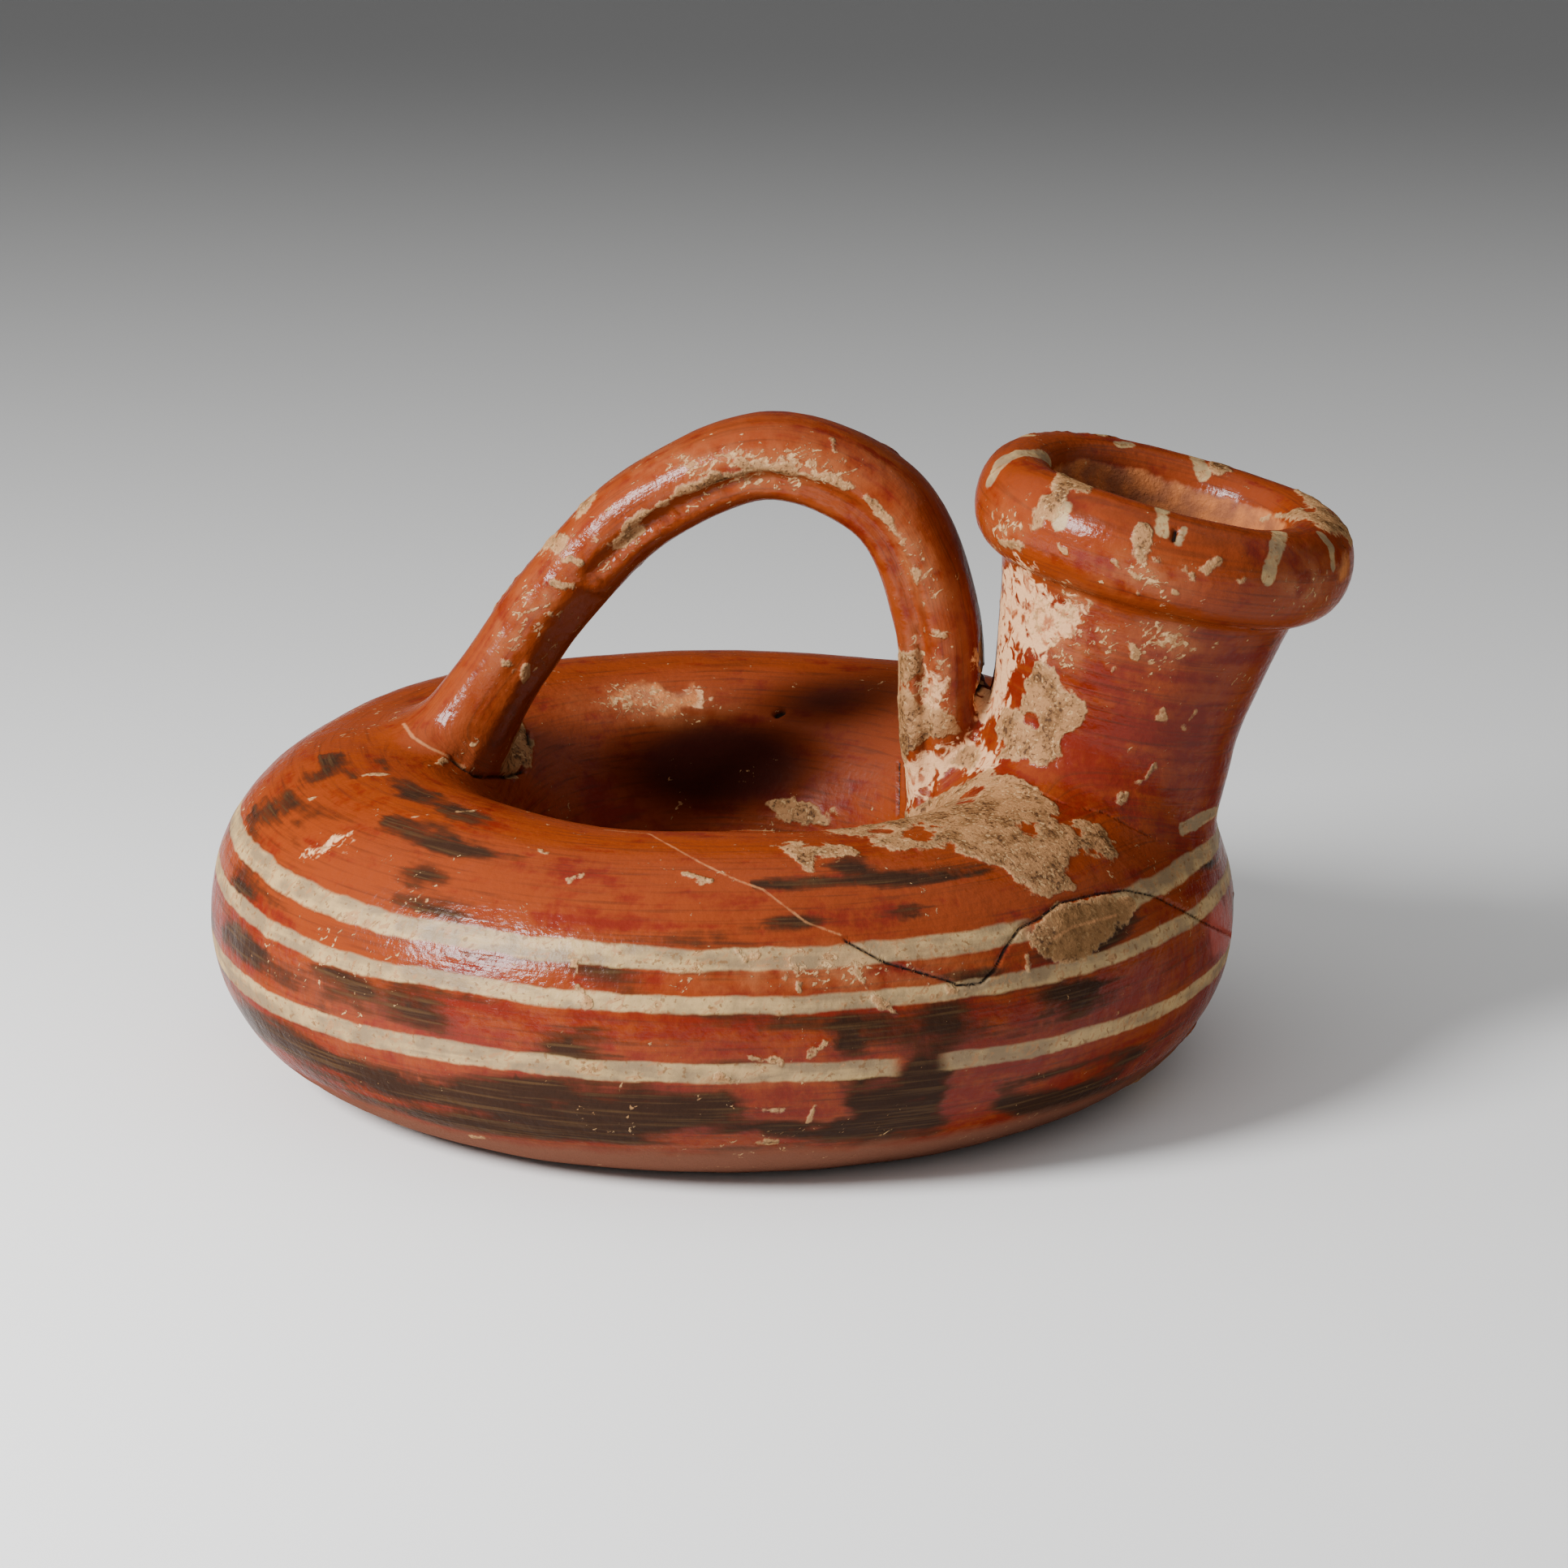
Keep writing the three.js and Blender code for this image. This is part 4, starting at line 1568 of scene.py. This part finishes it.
@dataclass
class Vessel:
    """The whole askos as one fired piece, with all that lies on its surface."""

    ring: Ring = field(default_factory=Ring)
    neck: Neck = field(default_factory=Neck)
    handle: Handle = field(default_factory=Handle)
    view: View = field(default_factory=View)
    finish: Finish = field(default_factory=Finish)
    wear: Wear = field(default_factory=Wear)
    low: Triple = (-60.0, -60.0, 0.0)
    high: Triple = (72.7, 60.0, 75.7)
    margin: float = 4.0
    pitch: float = 1.15
    hollow_pitch: float = 2.4
    fine_reaches: Span = (1.1, 0.42)
    fine_crust: float = 0.7
    fine_paint: float = 0.6
    fine_rounds: int = 2
    skin: float = 0.3
    neck_fillet: float = 2.5
    neck_fillet_hole: float = 9.0
    bore_floor: float = 4.0
    bore_top: float = 60.0
    bore_overlap: float = 2.0
    bore_ease: float = 0.4
    far_root_fillet: float = 1.6
    far_root_skirt: float = 3.6
    skirt_span: Span = (24.0, 34.0)
    near_root_fillet: float = 5.0
    fork_fillet: float = 1.5
    fork_span: Span = (32.0, 41.0)
    stretch: float = 5.0
    grain_fall: float = 1.5
    trace_start: float = 110.0
    trace_steps: int = 60
    trace_share: float = 0.8
    trace_limits: Span = (-2.0, 20.0)
    patch_reach: float = 1.7
    patch_spare: float = 3.0
    stroke_spare: float = 6.0
    out_of_reach: float = 9.0

    def clay(self, points: Array) -> Array:
        """Distance to the outside of the vessel, its bore only sunk part of the way.

        Args:
            points: places about the ring's axis, in mm.

        Returns:
            Distances that are negative inside.
        """
        turn, _, _ = self.neck.local(points)
        behind = np.sqrt(0.5 - 0.5 * np.cos(turn))
        fillet = self.neck_fillet + (self.neck_fillet_hole - self.neck_fillet) * behind
        body = soft_min(self.ring.distance(points), self.neck.distance(points), fillet)
        forked = rise(points[:, 2], *self.fork_span)
        near = self.near_root_fillet + (self.fork_fillet - self.near_root_fillet) * forked
        far = self.far_root_fillet + self.far_root_skirt * rise(-points[:, 0], *self.skirt_span)
        root = np.where(points[:, 0] < 0.0, far, near)
        body = soft_min(body, self.handle.distance(points), root)
        bore = self.neck.way_in(points, self.bore_floor, self.bore_top, 0.0)
        return -soft_min(-body, bore, self.neck.mouth_edge)

    def hollow(self, points: Array) -> Array:
        """Distance to the space inside: the ring's hollow and the bore's lower end.

        Args:
            points: places about the ring's axis, in mm.

        Returns:
            Distances that are negative inside.
        """
        ceiling = self.bore_floor + self.bore_overlap
        bore = self.neck.way_in(points, -self.neck.sunk, ceiling, self.bore_ease)
        return np.minimum(self.ring.hollow(points), bore)

    def traced(self, pixels: Array) -> Array:
        """The places on the clay that are seen at pixels of the photograph.

        Args:
            pixels: pixels of the photograph.

        Returns:
            One place for each pixel.
        """
        eye, rays = self.view.eye(), self.view.rays(pixels)
        run = np.full(len(pixels), self.view.distance - self.trace_start)
        for _ in range(self.trace_steps):
            gap = np.clip(self.clay(eye + rays * run[:, None]), *self.trace_limits)
            run = run + self.trace_share * gap
        return eye + rays * run[:, None]

    def lines(self, strokes: tuple[Stroke, ...], gap: float = 8.0) -> list[Array]:
        """Strokes' runs on the clay, each as points a few pixels apart.

        Args:
            strokes: the strokes.
            gap: the greatest step between points, in pixels.

        Returns:
            One run of places for each stroke.
        """
        runs = []
        for stroke in strokes:
            run = np.array(stroke.run, dtype=float)
            spots = [run[:1]]
            for start, end in zip(run[:-1], run[1:]):
                count = max(1, int(np.linalg.norm(end - start) / gap))
                spots.append(start + (end - start) * (np.arange(1, count + 1) / count)[:, None])
            runs.append(np.vstack(spots))
        ends = np.cumsum([len(run) for run in runs])
        return np.split(self.traced(np.vstack(runs)), ends[:-1])

    def seen(self, points: Array, faces: Array) -> Array:
        """Which points face the eye."""
        return np.einsum("ij,ij->i", self.view.eye() - points, faces) > 0.0

    def patched(self, mark: Mark, points: Array, faces: Array) -> Array:
        """How far inside the patches of one kind each point is, in mm; elsewhere it is far outside.

        Args:
            mark: the kind of mark.
            points: places about the ring's axis, in mm.
            faces: the way each point faces.

        Returns:
            Depths that are negative outside.
        """
        result = np.full(len(points), -self.out_of_reach)
        scale = self.view.focal / self.view.distance
        seen = self.seen(points, faces)
        middles = self.traced(np.array([patch.middle() for patch in PATCHES[mark]], dtype=float))
        for patch, middle in zip(PATCHES[mark], middles):
            reach = self.patch_reach * patch.size() / scale + self.patch_spare
            near = seen & (np.linalg.norm(points - middle, axis=1) < reach)
            depth = patch.depth(self.view.seen_at(points[near])) / scale
            result[near] = np.maximum(result[near], depth)
        return result

    def stroked(self, mark: Mark, points: Array) -> Array:
        """Distance to the lines of one kind, less their half widths, in mm.

        Args:
            mark: the kind of mark.
            points: places about the ring's axis, in mm.

        Returns:
            Distances that are negative on a line.
        """
        result = np.full(len(points), self.out_of_reach)
        runs = [(run, stroke.half) for run, stroke in zip(self.lines(STROKES[mark]), STROKES[mark])]
        if mark is Mark.PAINT:
            runs += [(run, self.wear.rim_half) for run in self.rim_marks()]
        for run, half in runs:
            middle, reach = run.mean(0), np.ptp(run, axis=0).max() + self.stroke_spare
            near = np.flatnonzero(np.abs(points - middle).max(1) < reach)
            best = np.full(len(near), self.out_of_reach)
            for start, end in zip(run[:-1], run[1:]):
                best = np.minimum(best, gap_to(points[near], start, end))
            result[near] = np.minimum(result[near], best - half)
        return result

    def rim_marks(self) -> list[Array]:
        """Painted strokes across the far side of the lip, spaced like those in view.

        Returns:
            One run of places for each stroke.
        """
        wear = self.wear
        return [
            np.array([self.neck.lip_point(turn + wear.rim_slant * tilt, tilt) for tilt in wear.rim_tilts])
            for turn in wear.rim_turns
        ]

    def crusted(self, points: Array, faces: Array) -> Array:
        """How far inside the crust each point is, in mm, with a few more patches out of view.

        Args:
            points: places about the ring's axis, in mm.
            faces: the way each point faces.

        Returns:
            Depths that are negative outside.
        """
        shown = np.maximum(self.patched(Mark.CRUST, points, faces), -self.stroked(Mark.CRUST, points))
        shown = np.minimum(shown, -self.patched(Mark.CLEAR, points, faces))
        return np.where(self.seen(points, faces), shown, self.wear.crust_hidden.at(points))

    def build(self, shift: Vector) -> bpy.types.Object:
        """Builds the vessel's mesh, lays its marks on it and dresses it.

        Args:
            shift: where the ring's axis stands in the row frame, in metres.

        Returns:
            The finished object.
        """
        wear = self.wear
        low, high = np.array(self.low) - self.margin, np.array(self.high) + self.margin
        shell = Shell.around(self.clay, low, high, self.pitch)
        LOG.info("outside: %d triangles", len(shell.triangles))
        for reach in self.fine_reaches:
            faces = facing(self.clay, shell.points)
            lines = [self.stroked(mark, shell.points) for mark in (Mark.CRACK, Mark.SEAM, Mark.GAP)]
            crust = np.abs(self.crusted(shell.points, faces)) < self.fine_crust * reach
            paint = np.abs(self.stroked(Mark.PAINT, shell.points)) < self.fine_paint * reach
            shell.split((np.min(lines, axis=0) < reach) | crust | paint)
            shell.settle(self.clay, self.fine_rounds)
        LOG.info("outside with its finer places: %d triangles", len(shell.triangles))
        shell = shell.without(Shell.around(self.hollow, low, high, self.hollow_pitch))
        LOG.info("with the hollow: %d triangles", len(shell.triangles))
        inside = np.abs(self.clay(shell.points)) > self.skin
        faces = facing(self.clay, shell.points)
        marks = self.marks(shell.points, faces, inside)
        relief = wear.crust_height * rise(marks["crust"], *wear.crust_edge)
        relief = relief * wear.crust_grit.at(shell.points)
        relief = relief - wear.crack_depth * rise(marks["crack"], *wear.crack_edge)
        relief = relief - wear.gap_depth * rise(marks["gap"], *wear.gap_edge)
        relief = relief - wear.scuff_depth * rise(marks["worn"], *wear.scuff_edge)
        relief = relief + wear.uneven.at(shell.points)
        shell.points = shell.points + faces * np.where(inside, 0.0, relief)[:, None]
        made = shell.stood("vessel", MM, shift)
        for name, values in marks.items():
            kind, key = ("FLOAT_VECTOR", "vector") if values.ndim == 2 else ("FLOAT", "value")
            kept = made.data.attributes.new(name, kind, "POINT")
            kept.data.foreach_set(key, values.astype(np.float32).ravel())
        made.data.materials.append(self.finish.material())
        return made

    def marks(self, points: Array, faces: Array, inside: Array) -> dict[str, Array]:
        """Everything that the finish reads from the mesh, by name.

        Args:
            points: the mesh's points.
            faces: the way each point faces.
            inside: which of them are on the hollow's wall.

        Returns:
            One value or vector for each point under each name.
        """
        wear, paint = self.wear, self.finish.paint
        patches = {mark: self.patched(mark, points, faces) for mark in PATCHES if mark is not Mark.CRUST}
        seen, ragged, grain = self.seen(points, faces), wear.ragged.at(points), self.grain(points)
        out, height = np.hypot(points[:, 0], points[:, 1]), points[:, 2]
        mouth = self.neck.way_in(points, self.bore_floor, self.bore_top, wear.mouth_ease)
        raw = np.maximum(patches[Mark.RAW], -wear.mouth_fall * mouth - wear.mouth_start)
        belly = (height < wear.belly_top) & (out > self.ring.mid_radius)
        base = wear.smoke_belly + wear.smoke_left * rise(-points[:, 0], *wear.smoke_left_span)
        smoke = np.maximum(patches[Mark.CLOUD], np.where(belly, base, wear.smoke_least))
        smoke = np.where(seen, smoke, wear.smoke_hidden.at(points)) + wear.smoke_streaks.at(grain)
        dust = np.where(seen, patches[Mark.DUST] / wear.dust_fade, wear.dust_hidden)
        on_handle = closeness(self.handle, points, wear.dust_and_sheen_handle_fall)
        inner = rise(self.ring.mid_radius - out, *wear.inner_out) * rise(height, *wear.inner_height)
        along = self.neck.local(points)[2]
        cool = closeness(self.neck, points, wear.cool_fall) * rise(along, *wear.cool_span)
        return {
            "grain": grain,
            "height": paint.height(self.ring, points),
            "aside": paint.aside(points),
            "crust": self.crusted(points, faces) + wear.crust_ragged * ragged,
            "worn": np.minimum(patches[Mark.WORN], wear.scuff_limit) + wear.scuff_ragged * ragged,
            "cloud": np.clip(smoke / wear.smoke_fade, -1.0, np.where(belly, 1.0, wear.smoke_top)),
            "blush": patches[Mark.BLUSH],
            "raw": np.where(inside, self.out_of_reach, raw),
            # dust; its share near the handle is partly painted sheen and fill light
            "dust": np.clip(np.maximum(dust, wear.dust_and_sheen_on_handle * on_handle), 0.0, 1.0),
            "faded": patches[Mark.FADED],
            # painted shade: the cast shadow in the hole
            "shade": np.clip(patches[Mark.SHADE] / wear.shade_fade, 0.0, 1.0),
            "inner": inner,
            # more orange up the shoulder, redder and darker low on the neck
            "warm": wear.warm_top * rise(height, *wear.warm_span) - wear.cool_neck * cool,
            "paint": self.stroked(Mark.PAINT, points),
            "crack": self.stroked(Mark.CRACK, points),
            "seam": self.stroked(Mark.SEAM, points),
            # gaps and pits, partly painted crease shade
            "gap": self.stroked(Mark.GAP, points),
        }

    def grain(self, points: Array) -> Array:
        """The run of the burnishing at each point, eased from one part into the next.

        Args:
            points: places about the ring's axis, in mm.

        Returns:
            One place in the run for each point.
        """
        parts = (self.ring, self.neck, self.handle)
        weights = np.stack([closeness(part, points, self.grain_fall) for part in parts])
        runs = np.stack([part.grain(points, self.stretch) for part in parts])
        return (weights[:, :, None] * runs).sum(0) / weights.sum(0)[:, None]


@dataclass(frozen=True)
class Lamp:
    """One soft lamp, by the way to it from the vessel, its distance, size and power."""

    name: str
    way: Triple
    away: float
    size: float
    power: float
    aim: float = 0.03

    def hang(self) -> bpy.types.Object:
        """Hangs the lamp and turns it to the vessel.

        Returns:
            The lamp.
        """
        data = bpy.data.lights.new(self.name, "AREA")
        data.shape = "DISK"
        data.size = self.size
        data.energy = self.power
        held = bpy.data.objects.new(self.name, data)
        way = Vector(self.way).normalized()
        held.location = way * self.away + Vector((0.0, 0.0, self.aim))
        held.rotation_mode = "QUATERNION"
        held.rotation_quaternion = (-way).to_track_quat("-Z", "Y")
        bpy.context.scene.collection.objects.link(held)
        return held


@dataclass(frozen=True)
class Studio:
    """A pale table that sweeps up behind and darkens towards the back as painted shade, soft lamps and
    the even light of the room.
    """

    half_width: float = 3.0
    ahead: float = 1.5
    behind: float = 1.6
    sweep: float = 0.6
    wall: float = 1.2
    steps: int = 16
    grey: Colour = (0.86, 0.86, 0.855, 1.0)
    # painted shade: the table's colour at the back, darker in place of the light falling off
    far_painted_shade_grey: Colour = (0.20, 0.20, 0.20, 1.0)
    near_edge: float = -0.15
    far_edge: float = 0.95
    roughness: float = 0.75
    room: float = 0.40
    room_colour: Colour = (1.0, 1.0, 1.0, 1.0)
    room_climb: Triple = (-0.16, 0.0, 0.34)
    lamps: tuple[Lamp, ...] = (Lamp("key", (-0.637, -0.573, 0.515), 0.5, 0.19, 5.6),)

    def set_up(self) -> None:
        """Lays the table, hangs the lamps and lights the room."""
        angles = np.linspace(0.0, math.pi / 2.0, self.steps)
        profile = [(-self.ahead, 0.0)]
        for angle in angles:
            rounded = self.sweep * (1.0 - math.cos(angle))
            profile.append((self.behind + self.sweep * math.sin(angle), rounded))
        profile.append((self.behind + self.sweep, self.sweep + self.wall))
        corners = [(side * self.half_width, y, z) for y, z in profile for side in (-1.0, 1.0)]
        faces = [(2 * i, 2 * i + 1, 2 * i + 3, 2 * i + 2) for i in range(len(profile) - 1)]
        mesh = bpy.data.meshes.new("table")
        mesh.from_pydata(corners, [], faces)
        mesh.shade_smooth()
        table = bpy.data.objects.new("table", mesh)
        bpy.context.scene.collection.objects.link(table)
        desk = Desk("table")
        split = desk.put("ShaderNodeSeparateXYZ")
        desk.feed(split.inputs[0], desk.put("ShaderNodeTexCoord").outputs["Object"])
        # painted shade: the table darkens towards the back in place of the light falling off
        shade = desk.step(split.outputs["Y"], self.near_edge, self.far_edge)
        desk.feed(desk.surface.inputs["Base Color"], desk.mix(shade, self.grey, self.far_painted_shade_grey))
        desk.surface.inputs["Roughness"].default_value = self.roughness
        mesh.materials.append(desk.material)
        for lamp in self.lamps:
            lamp.hang()
        world = bpy.data.worlds.new("room")
        world.use_nodes = True
        nodes, links = world.node_tree.nodes, world.node_tree.links
        climb = nodes.new("ShaderNodeVectorMath")
        climb.operation = "DOT_PRODUCT"
        links.new(nodes.new("ShaderNodeTexCoord").outputs["Generated"], climb.inputs[0])
        climb.inputs[1].default_value = self.room_climb
        level = nodes.new("ShaderNodeMath")
        links.new(climb.outputs["Value"], level.inputs[0])
        level.inputs[1].default_value = self.room
        links.new(level.outputs[0], nodes["Background"].inputs["Strength"])
        nodes["Background"].inputs["Color"].default_value = self.room_colour
        bpy.context.scene.world = world


def main() -> None:
    """Builds the vessel and its studio and hands the pieces to the frame."""
    logging.basicConfig(level=logging.INFO, format="%(message)s")
    low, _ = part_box(NODE)
    ring = Ring()
    shift = Vector((low.x + (ring.mid_radius + ring.half_width) * MM, 0.0, 0.0))
    vessel = Vessel(ring=ring)
    made = vessel.build(shift)
    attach(made, BODY)
    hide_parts(NODE)
    LOG.info("vessel: %d triangles", len(made.data.polygons))
    Studio().set_up()
    vessel.view.camera(shift)
    LOG.info("table, lamps and camera set")


if __name__ == "__main__":
    main()
